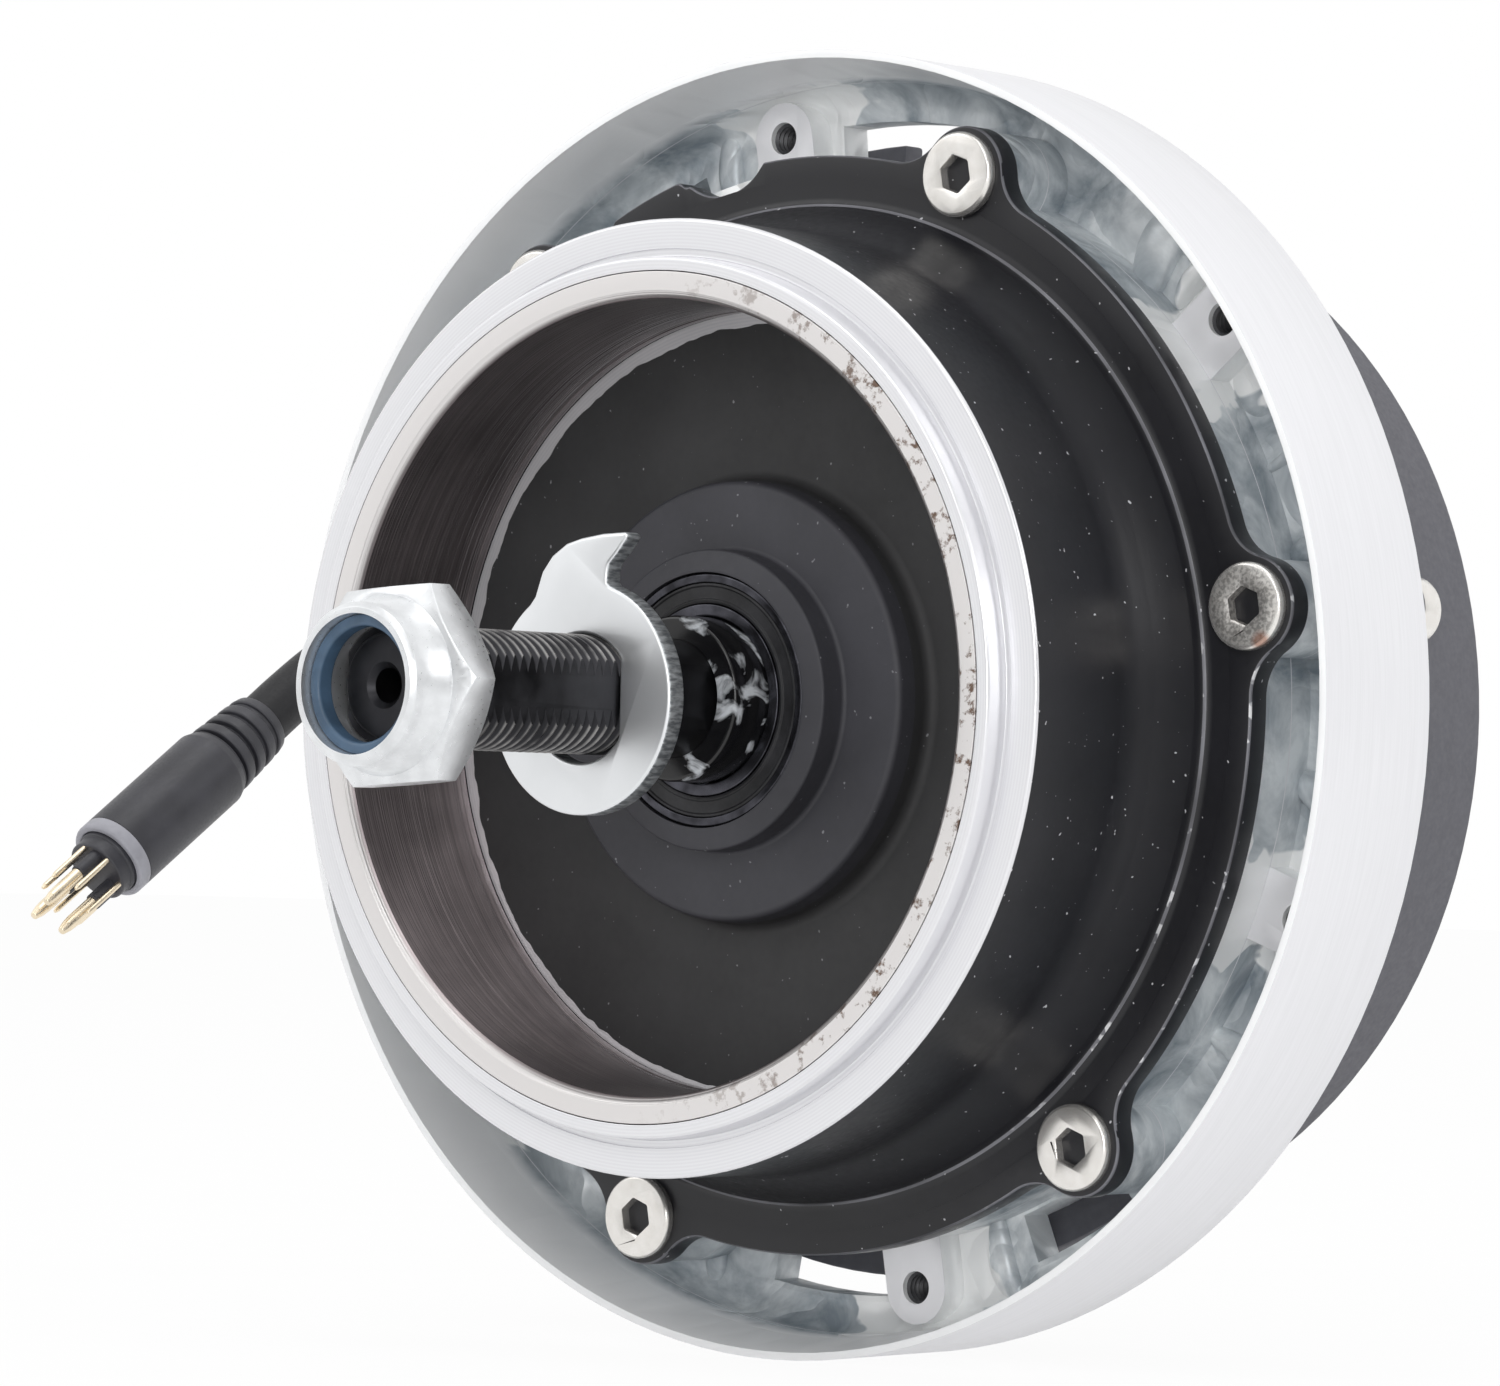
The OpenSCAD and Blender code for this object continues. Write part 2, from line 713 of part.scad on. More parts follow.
// The cast shell: housing, web, screw pillars, threaded bosses and outer band
module hub_shell() {
    pillar_r = lobe_r - 0.2;
    inside_r = housing_bore_r - 1;
    lip_in_r = housing_bore_r - 2.5;
    band_in_r = band_r - band_wall;
    // The band's wall is drawn thinner towards its front edge
    edge_in_r = band_r - band_wall * 0.3;
    rear_hole_y = shell_back_y - 6;
    hole_back_y = flange_y + screw_l + 0.6;
    arm_l = wheel_pcd / 2 - housing_r + 2;
    color("#c5c8cb")
        difference() {
            union() {
                difference() {
                    turned([[lip_in_r, shell_lip_y - 1], [inside_r, web_y], [band_in_r, web_y],
                        [edge_in_r, band_front_y], [band_r, band_front_y], [band_r, band_back_y],
                        [housing_step_r + 1, band_back_y], [housing_step_r + 1, shell_lip_y + lip_t],
                        [lip_in_r, shell_lip_y + lip_t]]);
                    slab(web_y - 1, band_back_y + 1)
                        web_windows(pillar_r);
                }
                slab(flange_back_y, web_y + 1.5)
                    difference() {
                        union() {
                            circle(housing_r);
                            cover_pillars(pillar_r);
                        }
                        circle(inside_r);
                    }
                slab(web_y + 2, shell_back_y)
                    difference() {
                        union() {
                            circle(housing_r);
                            rear_bosses(rear_boss_r);
                        }
                        circle(housing_step_r);
                    }
                slab(wheel_boss_back, web_y + 1)
                    for (k = [0 : wheel_screws - 1])
                        rotate(wheel_turn + 360 / wheel_screws * k) {
                            translate([wheel_pcd / 2, 0])
                                circle(wheel_boss_r);
                            translate([housing_r - 2, -wheel_boss_r])
                                square([arm_l, 2 * wheel_boss_r]);
                        }
            }
            disc(housing_bore_r, flange_back_y - 1, shell_lip_y);
            around(cover_screws_n, cover_turn)
                rod(screw_d / 2, cover_pcd / 2, flange_back_y - 1, hole_back_y);
            around(cover_screws_n, cover_turn)
                rod(rear_screw_d / 2, rear_pcd / 2, rear_hole_y, shell_back_y + 1);
            around(wheel_screws, wheel_turn)
                rod(wheel_hole_d / 2, wheel_pcd / 2, wheel_boss_back - 1, band_back_y + 1);
        }
}

// The rear casing: a cup with a notched flange, a bearing boss and an end wall
module rear_casing() {
    in_r = casing_r - casing_wall;
    flange_back = rear_flange_back + 3;
    edge = 1;
    color("#6b6b70")
        difference() {
            union() {
                turned([[in_r, rear_flange_back], [casing_r, rear_flange_back],
                    [casing_r, casing_back_y - edge], [casing_r - edge, casing_back_y],
                    [rear_seal_r, casing_back_y],
                    [rear_seal_r, casing_back_y - seal_t], [rear_bearing_r, casing_back_y - seal_t],
                    [rear_bearing_r, rear_bearing_y], [bearing_boss_r, rear_bearing_y],
                    [bearing_boss_r, casing_back_y - end_wall_t], [in_r, casing_back_y - end_wall_t]]);
                slab(rear_flange_back, flange_back)
                    difference() {
                        union() {
                            circle(rear_flange_r);
                            rear_bosses(rear_boss_r);
                        }
                        circle(in_r + 1);
                        for (k = [0 : 2])
                            rotate(casing_notch_turn + 120 * k)
                                translate([rear_flange_r - casing_notch_depth, -casing_notch_w / 2])
                                    square([casing_notch_depth + 1, casing_notch_w]);
                    }
            }
            around(cover_screws_n, cover_turn)
                rod(rear_screw_d / 2 + 0.2, rear_pcd / 2, rear_flange_back - 1, flange_back + 1);
        }
}
module rear_casing_screws() {
    seat_y = rear_flange_back + 3;
    tip_y = shell_back_y - 5.5;
    screw_head_r = rear_screw_d / 2 + 1.5;
    color("#bdbdc0")
        around(cover_screws_n, cover_turn)
            translate([rear_pcd / 2, 0, 0])
                difference() {
                    union() {
                        disc(screw_head_r, seat_y, seat_y + rear_screw_d);
                        disc(rear_screw_d / 2 - fit, tip_y, seat_y + eps);
                    }
                    hex_bar(rear_screw_d * 0.75, seat_y + rear_screw_d / 2, seat_y + rear_screw_d + 1, 30);
                }
}

// Gears: the ring is held in the shell, the sun turns with the rotor
module ring_gear() {
    color("#7d7e83")
        slab(ring_gear_y, shell_lip_y)
            difference() {
                circle(housing_bore_r - seat);
                gear_outline(ring_teeth, -backlash, tooth_down, tooth_up);
            }
}
module sun_gear() {
    color("#8f9095")
        difference() {
            union() {
                slab(gear_y, sun_flange_y + eps)
                    gear_outline(sun_teeth, backlash, tooth_up, tooth_down);
                disc(rotor_bearing_r + 2.5, sun_flange_y, rotor_hub_y);
            }
            disc(sun_bore_r, gear_y - 1, rotor_hub_y + 1);
        }
}
module planet_gear(k) {
    turn = 360 / planet_count * k;
    color("#d8d2bd")
        rotate([0, -turn, 0])
            difference() {
                slab(gear_y, gear_back_y)
                    translate([planet_offset, 0])
                        gear_outline(planet_teeth, backlash, tooth_up, tooth_down);
                rod(bush_r, planet_offset, gear_y - 1, gear_back_y + 1);
            }
}
module planet_bush(k) {
    turn = 360 / planet_count * k;
    color("#a9824a")
        rotate([0, -turn, 0])
            translate([planet_offset, 0, 0])
                ring(bush_r - seat, pin_r + fit, gear_y, gear_back_y);
}
module planet_gear_1() { planet_gear(0); }
module planet_gear_2() { planet_gear(1); }
module planet_gear_3() { planet_gear(2); }
module planet_bush_1() { planet_bush(0); }
module planet_bush_2() { planet_bush(1); }
module planet_bush_3() { planet_bush(2); }

// The carrier holds the planets' pins and is the one-way clutch's outer race
module planet_carrier() {
    arm_r = pin_r + 4;
    step_r = bush_r - 0.8;
    color("#85868b")
        difference() {
            union() {
                disc(clutch_hub_r, clutch_y, clutch_back_y);
                slab(carrier_y, carrier_y + carrier_t) {
                    circle(planet_offset);
                    for (k = [0 : planet_count - 1])
                        rotate(360 / planet_count * k)
                            translate([planet_offset, 0])
                                circle(arm_r);
                }
                around(planet_count)
                    rod(step_r, planet_offset, carrier_y + 1, gear_y - 0.3);
            }
            disc(clutch_bore_r, clutch_y - 1, clutch_back_y + 1);
            around(planet_count)
                rod(pin_r + seat, planet_offset, carrier_y - 1, gear_y);
        }
}
module planet_pins() {
    groove = 0.5;
    clip_y = gear_back_y + 0.2;
    color("#b3b4b8")
        around(planet_count)
            translate([planet_offset, 0, 0])
                turned([[0, carrier_y], [pin_r, carrier_y], [pin_r, clip_y], [pin_r - groove, clip_y],
                    [pin_r - groove, clip_y + clip_t], [pin_r, clip_y + clip_t],
                    [pin_r, clip_y + clip_t + 0.4], [0, clip_y + clip_t + 0.4]]);
}
module planet_clips() {
    clip_y = gear_back_y + 0.2;
    color("#6f7074")
        around(planet_count)
            translate([planet_offset, 0, 0])
                difference() {
                    ring(pin_r + 1.7, pin_r - 0.5 + seat, clip_y + seat, clip_y + clip_t - seat);
                    translate([0, clip_y, -1])
                        cube([pin_r + 3, clip_t, 2]);
                }
}

// One-way clutch on the axle: keyed race and rollers
module clutch_race() {
    color("#77787d")
        difference() {
            ring(race_r, axle_r + seat, clutch_y, clutch_back_y);
            key_slot(0);
        }
}
module clutch_rollers() {
    color("#b8b9bd")
        around(roller_count)
            rod(roller_r, race_r + 0.05 + roller_r, clutch_y + 0.6, clutch_back_y - 0.6);
}
module axle_circlip() {
    front = clutch_back_y + seat;
    color("#6f7074")
        ring(axle_r + 1.6, axle_r + seat, front, front + clip_t);
}

// The rotor: a can with magnets that spins round the stator and drives the sun
module rotor_can() {
    hub_r = rotor_bearing_r + 3;
    hub_back = rotor_bearing_y + rotor_bearing_w + 0.2;
    disc_back = rotor_disc_y + rotor_disc_t;
    color("#5d5e63")
        difference() {
            turned([[rotor_bearing_r, rotor_hub_y], [hub_r, rotor_hub_y], [hub_r, rotor_disc_y],
                [rotor_r, rotor_disc_y], [rotor_r, can_back_y], [rotor_in_r, can_back_y],
                [rotor_in_r, disc_back], [hub_r, disc_back], [hub_r, hub_back],
                [rotor_bearing_r - 1, hub_back], [rotor_bearing_r - 1, hub_back - 0.2 + seat],
                [rotor_bearing_r, hub_back - 0.2 + seat]]);
            around(6)
                rod(5, 30, rotor_disc_y - 1, disc_back + 1);
        }
}
module rotor_magnets() {
    magnet_gap = 1;
    half = 180 / magnets_n - magnet_gap;
    color("#43444a")
        slab(stack_back - 0.5, stack_back_y + 0.5)
            for (k = [0 : magnets_n - 1])
                rotate(360 / magnets_n * k)
                    sector(magnet_in_r, rotor_in_r - seat, -half, half);
}
rotor_in_ring_r = axle_r + fit + ring_wall;
rotor_pitch_r = (rotor_in_ring_r + rotor_bearing_r - ring_wall) / 2;
rotor_ball_r = 0.9;
module rotor_bearing_inner_ring() {
    color("#8b8c90")
        bearing_ring(axle_r + fit, rotor_in_ring_r, rotor_pitch_r, rotor_ball_r,
            rotor_bearing_y, rotor_bearing_w);
}
module rotor_bearing_balls() {
    color("#b8b9bd")
        bearing_balls(rotor_pitch_r, rotor_ball_r, rotor_bearing_y, rotor_bearing_w);
}
module rotor_bearing_outer_ring() {
    color("#8b8c90")
        bearing_ring(rotor_bearing_r - ring_wall, rotor_bearing_r - seat, rotor_pitch_r, rotor_ball_r,
            rotor_bearing_y, rotor_bearing_w);
}

// The stator: laminated core with a coil round each tooth, on a hub fixed to the axle
module stator_core() {
    shoe_half = 180 / slots_n - 2.4;
    color("#8a8b91")
        slab(stack_back, stack_back_y) {
            difference() {
                circle(core_r);
                circle(core_bore_r);
            }
            for (k = [0 : slots_n - 1])
                rotate(360 / slots_n * k) {
                    translate([core_r - 0.5, -tooth_w / 2])
                        square([stator_r - shoe_t - core_r + 1, tooth_w]);
                    sector(stator_r - shoe_t, stator_r, -shoe_half, shoe_half);
                }
        }
}
module stator_hub() {
    color("#a5a7ab")
        difference() {
            union() {
                ring(core_bore_r - seat, core_bore_r - 4, stator_hub_y, stator_hub_back_y);
                ring(core_bore_r - 3, journal_r + 3, stator_hub_y + 2, stator_hub_back_y - 2);
                ring(journal_r + 4, journal_r + seat, stator_hub_y, stator_hub_back_y);
            }
            around(6)
                rod(2.6, (journal_r + core_bore_r) / 2, stator_hub_y - 1, stator_hub_back_y + 1);
        }
}
module stator_coils() {
    inner = core_r + 0.3;
    outer = stator_r - shoe_t - 0.5;
    side = tooth_w / 2 + 0.15;
    color("#b06a35")
        around(slots_n)
            difference() {
                translate([inner, stack_back - coil_over, -side - coil_t])
                    cube([outer - inner, stack_l + 2 * coil_over, 2 * side + 2 * coil_t]);
                translate([inner - 1, stack_back - 0.1, -side])
                    cube([outer - inner + 2, stack_l + 0.2, 2 * side]);
            }
}
module hall_board() {
    sensor = 3;
    color("#2f6b45") {
        difference() {
            ring(board_r, board_bore_r, board_y, board_y + board_t);
            around(3, 30)
                rod(1.6, board_r - 3, board_y - 1, board_y + board_t + 1);
        }
        around(3, 90)
            translate([board_r - 6, board_y + board_t - eps, -sensor / 2])
                cube([sensor, 1.2, sensor]);
    }
}

// The cable's inner run: through the axle's bore and up to the board
module inner_leads() {
    color("#3b3b40") {
        disc(core_lead_r, stator_hub_back_y - 0.5, axle_back);
        translate([0, lead_y, 0])
            cylinder(r = lead_r, h = lead_top + lead_r);
        translate([0, 0, lead_top])
            disc(lead_r, lead_y, board_y);
    }
}
module bearing_spacer() {
    slot_w = 2 * lead_r + 0.8;
    color("#8b8c90")
        difference() {
            ring(journal_r + 1.7, journal_r + seat, stator_hub_back_y, rear_bearing_y);
            translate([-slot_w / 2, stator_hub_back_y - 1, 0])
                cube([slot_w, spacer_l + 2, journal_r + 4]);
        }
}

// Rear bearing between journal and casing, with a rubber seal behind it
rear_in_ring_r = journal_r + fit + rear_ring_wall;
rear_pitch_r = (rear_in_ring_r + rear_bearing_r - rear_ring_wall) / 2;
rear_ball_r = 1.75;
module rear_bearing_inner_ring() {
    color("#8b8c90")
        bearing_ring(journal_r + fit, rear_in_ring_r, rear_pitch_r, rear_ball_r,
            rear_bearing_y, rear_bearing_w);
}
module rear_bearing_balls() {
    color("#b8b9bd")
        bearing_balls(rear_pitch_r, rear_ball_r, rear_bearing_y, rear_bearing_w);
}
module rear_bearing_outer_ring() {
    color("#8b8c90")
        bearing_ring(rear_bearing_r - rear_ring_wall, rear_bearing_r - seat, rear_pitch_r, rear_ball_r,
            rear_bearing_y, rear_bearing_w);
}
module rear_seal() {
    lip = 0.2;
    color("#1d1d1f")
        ring(rear_seal_r - seat, journal_r + lip, casing_back_y - seal_t + seat, casing_back_y);
}

// Rear washer and lock nut, tight against the journal's shoulder
rear_washer_t = 2.4;
rear_nut_y = journal_back + rear_washer_t;
module rear_washer() {
    color("#c9cacc")
        slab(journal_back, rear_nut_y)
            difference() {
                circle(washer_r);
                intersection() {
                    circle(axle_r + fit);
                    square([axle_flats + 2 * fit, 3 * axle_r], center = true);
                }
            }
}
module rear_lock_nut() {
    color("#c4c5c7")
        translate([0, rear_nut_y, 0])
            rotate([180, 0, 0])
                nut_body(10);
}
module rear_nut_nylon_ring() {
    front = rear_nut_y + nut_hex_h + nut_dome_h - 1.2 - nylon_t;
    color("#3f5b76")
        ring(dome_in_r - seat, axle_r + fit, front, front + nylon_t);
}

// The strain relief: a tapered rubber boot on the axle's end
module cable_boot() {
    boot_r = axle_r - 0.5;
    color("#1b1b1d")
        turned([[0, axle_back], [boot_r, axle_back], [boot_r, axle_back + 3], [boot_r - 0.6, axle_back + 5],
            [cable_r + 0.7, axle_back + boot_l], [0, axle_back + boot_l]]);
}

// A tube swept along points: a ring of corners square to the route at each point
function unit(v) = v / norm(v);
function along(p, k) = unit(p[min(k + 1, len(p) - 1)] - p[max(k - 1, 0)]);
module tube(points, r, sides) {
    up = [0, 0, 1];
    corners = [for (k = [0 : len(points) - 1])
        let (dir = along(points, k), side = unit(cross(dir, up)), top = cross(side, dir))
        for (s = [0 : sides - 1])
            points[k] + r * (cos(360 / sides * s) * side + sin(360 / sides * s) * top)];
    last = (len(points) - 1) * sides;
    faces = concat(
        [[for (s = [0 : sides - 1]) s]],
        [[for (s = [sides - 1 : -1 : 0]) last + s]],
        [for (k = [0 : len(points) - 2], s = [0 : sides - 1])
            let (a = k * sides, b = (s + 1) % sides)
            each [[a + s, a + sides + s, a + b], [a + b, a + sides + s, a + sides + b]]]);
    polyhedron(corners, faces);
}
module motor_cable() {
    boot_end = [0, axle_back + boot_l, 0];
    color("#1f1f22")
        tube(concat([boot_end], cable_route, [plug_back()]), cable_r, 12);
}

// The connector, its axis pointing from the cable to the pins
function plug_dir() = [sin(plug_tilt) * cos(plug_turn), sin(plug_tilt) * sin(plug_turn), cos(plug_tilt)];
function plug_back() = plug_front - plug_dir() * plug_l;
module on_plug() {
    translate(plug_front)
        rotate([0, plug_tilt, plug_turn])
            children();
}
module connector_body() {
    body_r = plug_d / 2;
    neck_r = cable_r + 0.7;
    back = -plug_l;
    ribs = 4;
    rib_step = 2.2;
    color("#2b2b2f")
        on_plug()
            difference() {
                rotate_extrude()
                    polygon([[0, back], [neck_r, back], [neck_r + 0.5, back + plug_neck_l],
                        [body_r, back + plug_neck_l + 3], [body_r, -collar_l], [0, -collar_l]]);
                for (k = [0 : ribs - 1])
                    translate([0, 0, back + 1.4 + rib_step * k])
                        rotate_extrude()
                            translate([neck_r - 0.3, 0])
                                square([4, 0.8]);
            }
}
module connector_collar() {
    body_r = plug_d / 2;
    color("#77777d")
        on_plug()
            translate([0, 0, -collar_l])
                difference() {
                    cylinder(r = body_r, h = collar_l);
                    translate([0, 0, -1])
                        cylinder(r = body_r - 0.9, h = collar_l + 2);
                }
}
module connector_insert() {
    body_r = plug_d / 2;
    color("#202024")
        on_plug() {
            translate([0, 0, -collar_l])
                cylinder(r = body_r - 0.9 - seat, h = collar_l + insert_l);
            for (k = [0 : thick_pins - 1])
                rotate(30 + 120 * k)
                    translate([2.4, 0, insert_l - eps])
                        cylinder(r = 1, h = 3.4, $fn = 24);
        }
}
module connector_pins() {
    color("#d9b56a")
        on_plug() {
            for (k = [0 : thick_pins - 1])
                rotate(30 + 120 * k)
                    translate([2.4, 0, insert_l + 3.4])
                        cylinder(r = 0.8, h = 6, $fn = 24);
            for (k = [0 : thin_pins - 1])
                rotate(60 * k)
                    translate([3.4, 0, insert_l])
                        cylinder(r = 0.35, h = 6, $fn = 16);
        }
}

axle();
axle_collar();
tab_washer();
lock_nut();
lock_nut_nylon_ring();
front_bearing_inner_ring();
front_bearing_balls();
front_bearing_outer_ring();
front_bearing_seal();
drum_cover();
brake_liner();
cover_screws();
hub_shell();
rear_casing();
rear_casing_screws();
ring_gear();
sun_gear();
planet_gear_1();
planet_gear_2();
planet_gear_3();
planet_bush_1();
planet_bush_2();
planet_bush_3();
planet_carrier();
planet_pins();
planet_clips();
clutch_race();
clutch_rollers();
clutch_key();
axle_circlip();
rotor_can();
rotor_magnets();
rotor_bearing_inner_ring();
rotor_bearing_balls();
rotor_bearing_outer_ring();
stator_core();
stator_hub();
stator_coils();
hall_board();
inner_leads();
bearing_spacer();
rear_bearing_inner_ring();
rear_bearing_balls();
rear_bearing_outer_ring();
rear_seal();
rear_washer();
rear_lock_nut();
rear_nut_nylon_ring();
cable_boot();
motor_cable();
connector_body();
connector_collar();
connector_insert();
connector_pins();
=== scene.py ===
import json
import math

import bpy
from mathutils import Matrix, Vector


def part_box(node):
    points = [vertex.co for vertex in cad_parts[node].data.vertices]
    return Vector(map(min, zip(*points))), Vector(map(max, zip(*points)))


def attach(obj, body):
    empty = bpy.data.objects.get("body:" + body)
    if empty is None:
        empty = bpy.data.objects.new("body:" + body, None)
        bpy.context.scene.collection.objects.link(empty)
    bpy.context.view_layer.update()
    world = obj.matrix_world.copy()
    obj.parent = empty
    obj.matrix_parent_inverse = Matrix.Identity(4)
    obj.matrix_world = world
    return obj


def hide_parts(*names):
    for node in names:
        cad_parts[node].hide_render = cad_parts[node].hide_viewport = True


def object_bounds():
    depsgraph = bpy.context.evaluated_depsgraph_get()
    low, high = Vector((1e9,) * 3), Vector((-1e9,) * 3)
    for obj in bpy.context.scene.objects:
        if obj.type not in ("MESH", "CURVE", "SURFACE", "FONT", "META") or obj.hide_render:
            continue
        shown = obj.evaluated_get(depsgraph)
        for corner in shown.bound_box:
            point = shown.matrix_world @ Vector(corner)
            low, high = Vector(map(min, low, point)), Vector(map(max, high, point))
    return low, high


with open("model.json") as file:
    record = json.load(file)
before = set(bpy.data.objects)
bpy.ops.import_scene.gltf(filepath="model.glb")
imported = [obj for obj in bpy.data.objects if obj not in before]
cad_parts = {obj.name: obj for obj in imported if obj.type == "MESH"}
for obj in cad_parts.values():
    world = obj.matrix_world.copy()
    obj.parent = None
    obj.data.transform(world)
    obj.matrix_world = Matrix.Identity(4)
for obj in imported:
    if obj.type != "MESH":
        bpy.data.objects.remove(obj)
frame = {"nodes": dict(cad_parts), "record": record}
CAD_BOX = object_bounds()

bl_info = {
    "name": "Hub motor",
    "version": (1, 0, 0),
    "blender": (4, 5, 0),
    "location": "3D View > Sidebar > Hub motor",
    "description": "Builds the looks of a geared bicycle hub motor with a drum brake",
    "category": "Object",
}

MM = 0.001
# The six screws and six wheel bosses: their circle's radius in mm, the first one's angle and the step in degrees
SCREW_R, SCREW_ANGLE = 57.6, 9.7
BOSS_R, BOSS_ANGLE = 61, 39.7
SIXTH = 60
# Distances in metres under which points are merged: after a spin, in a CAD copy, along a thread
SPIN_WELD, CAD_WELD, THREAD_WELD = 8e-7, 1e-6, 5e-7
# Facets of a CAD copy that lean less than this, in degrees, become one face
FLAT_ANGLE = 0.6


def linear(code):
    """An sRGB hex colour as the four linear numbers that a shader wants."""
    out = []
    for k in (1, 3, 5):
        c = int(code[k:k + 2], 16) / 255
        out.append(c / 12.92 if c <= 0.04045 else ((c + 0.055) / 1.055) ** 2.4)
    return (*out, 1.0)


def paint(default, name, description):
    """A colour that the user can change."""
    return bpy.props.FloatVectorProperty(name=name, description=description, subtype="COLOR", size=4, min=0, max=1,
                                         default=linear(default))


def length(default_mm, name, description):
    """A size that the user can change."""
    return bpy.props.FloatProperty(name=name, description=description, unit="LENGTH", precision=5, min=0,
                                   default=default_mm * MM)


class HubSizes(bpy.types.PropertyGroup):
    """Sizes of the details that the CAD model leaves plain."""
    pitch: length(1.25, "Thread pitch", "Pitch of the thread on the axle's ends")
    crest: length(0.16, "Thread crest", "Width of the flat on top of the axle's thread")
    steel_edge: length(0.3, "Steel edge", "Rounding on the edges of nuts and washers")
    cast_edge: length(0.55, "Cast edge", "Rounding on the edges of the castings")
    screw_edge: length(0.14, "Screw edge", "Rounding on the edges of the screw heads")
    cable: length(6.8, "Cable", "Diameter of the motor cable")
    steps: bpy.props.IntProperty(name="Steps", description="Steps in one turn of a turned piece", default=168,
                                 min=24, max=360)


class HubColours(bpy.types.PropertyGroup):
    """Colours of the visible finishes."""
    cover: paint("#1b1b1f", "Cover", "Satin black coat outside the brake drum")
    floor: paint("#343435", "Drum floor", "Matt charcoal coat inside the drum")
    disc: paint("#3a3a3f", "Raised disc", "Coat on the disc and the bearing boss")
    bright: paint("#e8e8eb", "Bright metal", "Aluminium where a lathe has cut it")
    cast: paint("#e9edef", "Cast metal", "Aluminium as it comes out of the die")
    cast_dark: paint("#8f99a1", "Cast metal, dark", "Darker flow marks in the cast aluminium")
    zinc: paint("#eceef0", "Zinc", "Zinc plating on nuts and washers")
    liner: paint("#7c7475", "Liner", "Polished friction wall of the iron liner")
    liner_edge: paint("#dfdcdb", "Liner edge", "Machined front edge of the liner")
    wear: paint("#6e5a4e", "Wear", "Brown dust and rust on the liner's edge")
    oxide: paint("#303033", "Black oxide", "Oiled black oxide on the axle")
    casing: paint("#606066", "Casing", "Matt grey coat on the rear casing")
    nylon: paint("#4a637c", "Nylon ring", "Blue nylon in the lock nuts")
    jacket: paint("#1f1f22", "Jacket", "Jacket of the motor cable")
    plug: paint("#3a3a40", "Plug", "Moulded body of the connector")
    plug_ring: paint("#a2a2aa", "Plug ring", "Grey ring at the connector's front")
    gold: paint("#f5e6cb", "Contacts", "Gold plating on the contacts")


def alone(ob=None):
    """Leaves nothing selected, or only this object, and goes back to object mode."""
    if bpy.context.object and bpy.context.object.mode != "OBJECT":
        bpy.ops.object.mode_set(mode="OBJECT")
    bpy.ops.object.select_all(action="DESELECT")
    if ob:
        ob.select_set(True)
        bpy.context.view_layer.objects.active = ob


def edit_all(kind="VERT"):
    """Goes into edit mode with all of the active mesh selected."""
    bpy.ops.object.mode_set(mode="EDIT")
    bpy.ops.mesh.select_mode(type=kind)
    bpy.ops.mesh.select_all(action="SELECT")


def face_out():
    """Turns the active mesh's faces outwards and leaves edit mode."""
    bpy.ops.mesh.select_all(action="SELECT")
    bpy.ops.mesh.normals_make_consistent(inside=False)
    bpy.ops.object.mode_set(mode="OBJECT")


def ring_of(name, corners):
    """A ring with its corners at these points in metres."""
    alone()
    bpy.ops.mesh.primitive_circle_add(vertices=len(corners), radius=MM)
    ob = bpy.context.object
    ob.name = name
    for v, corner in zip(ob.data.vertices, corners):
        v.co = corner
    return ob


def rounded(corners, steps):
    """A section's corners (radius, y, fillet) in mm, with each fillet drawn as a short arc."""
    out = []
    for k, (r, y, fillet) in enumerate(corners):
        at = Vector((r, y))
        if not fillet:
            out.append(at)
            continue
        back = Vector(corners[k - 1][:2]) - at
        on = Vector(corners[(k + 1) % len(corners)][:2]) - at
        half = back.angle(on) / 2
        reach = min(fillet / math.tan(half), 0.95 * back.length, 0.95 * on.length)
        size = reach * math.tan(half)
        back.normalize()
        on.normalize()
        middle = at + (back + on).normalized() * size / math.sin(half)
        first, last = at + back * reach - middle, at + on * reach - middle
        for s in range(steps + 1):
            out.append(middle + first.lerp(last, s / steps).normalized() * size)
    return out


def turned(name, corners, steps=None, closed=True, arc=5):
    """A piece turned about the axle's line from a section of (radius, y, fillet) corners in mm. A section that isn't
    closed starts and ends on that line."""
    ob = ring_of(name, [(r * MM, y * MM, 0) for r, y in rounded(corners, arc)])
    if not closed:
        # The edge from the section's last corner to its first goes
        edit_all("EDGE")
        bpy.ops.mesh.select_all(action="DESELECT")
        bpy.ops.object.mode_set(mode="OBJECT")
        for e in ob.data.edges:
            e.select = set(e.vertices) == {0, len(ob.data.vertices) - 1}
        bpy.ops.object.mode_set(mode="EDIT")
        bpy.ops.mesh.delete(type="EDGE")
    edit_all()
    bpy.ops.mesh.spin(steps=steps or bpy.context.scene.hub_sizes.steps, angle=2 * math.pi, center=(0, 0, 0),
                      axis=(0, 1, 0))
    bpy.ops.mesh.select_all(action="SELECT")
    bpy.ops.mesh.remove_doubles(threshold=SPIN_WELD)
    face_out()
    return ob


def from_node(node, name):
    """A copy of a CAD node's mesh in an object of its own, merged and freed of its flat triangles."""
    ob = bpy.data.objects.new(name, frame["nodes"][node].data.copy())
    bpy.context.scene.collection.objects.link(ob)
    alone(ob)
    bpy.ops.mesh.customdata_custom_splitnormals_clear()
    edit_all()
    bpy.ops.mesh.remove_doubles(threshold=CAD_WELD)
    bpy.ops.mesh.dissolve_limited(angle_limit=math.radians(FLAT_ANGLE))
    bpy.ops.object.mode_set(mode="OBJECT")
    return ob


def apply_modifier(ob, kind, **settings):
    """Puts one modifier on a piece and applies it."""
    m = ob.modifiers.new(kind.title(), kind)
    for key, value in settings.items():
        setattr(m, key, value)
    alone(ob)
    bpy.ops.object.modifier_apply(modifier=m.name)


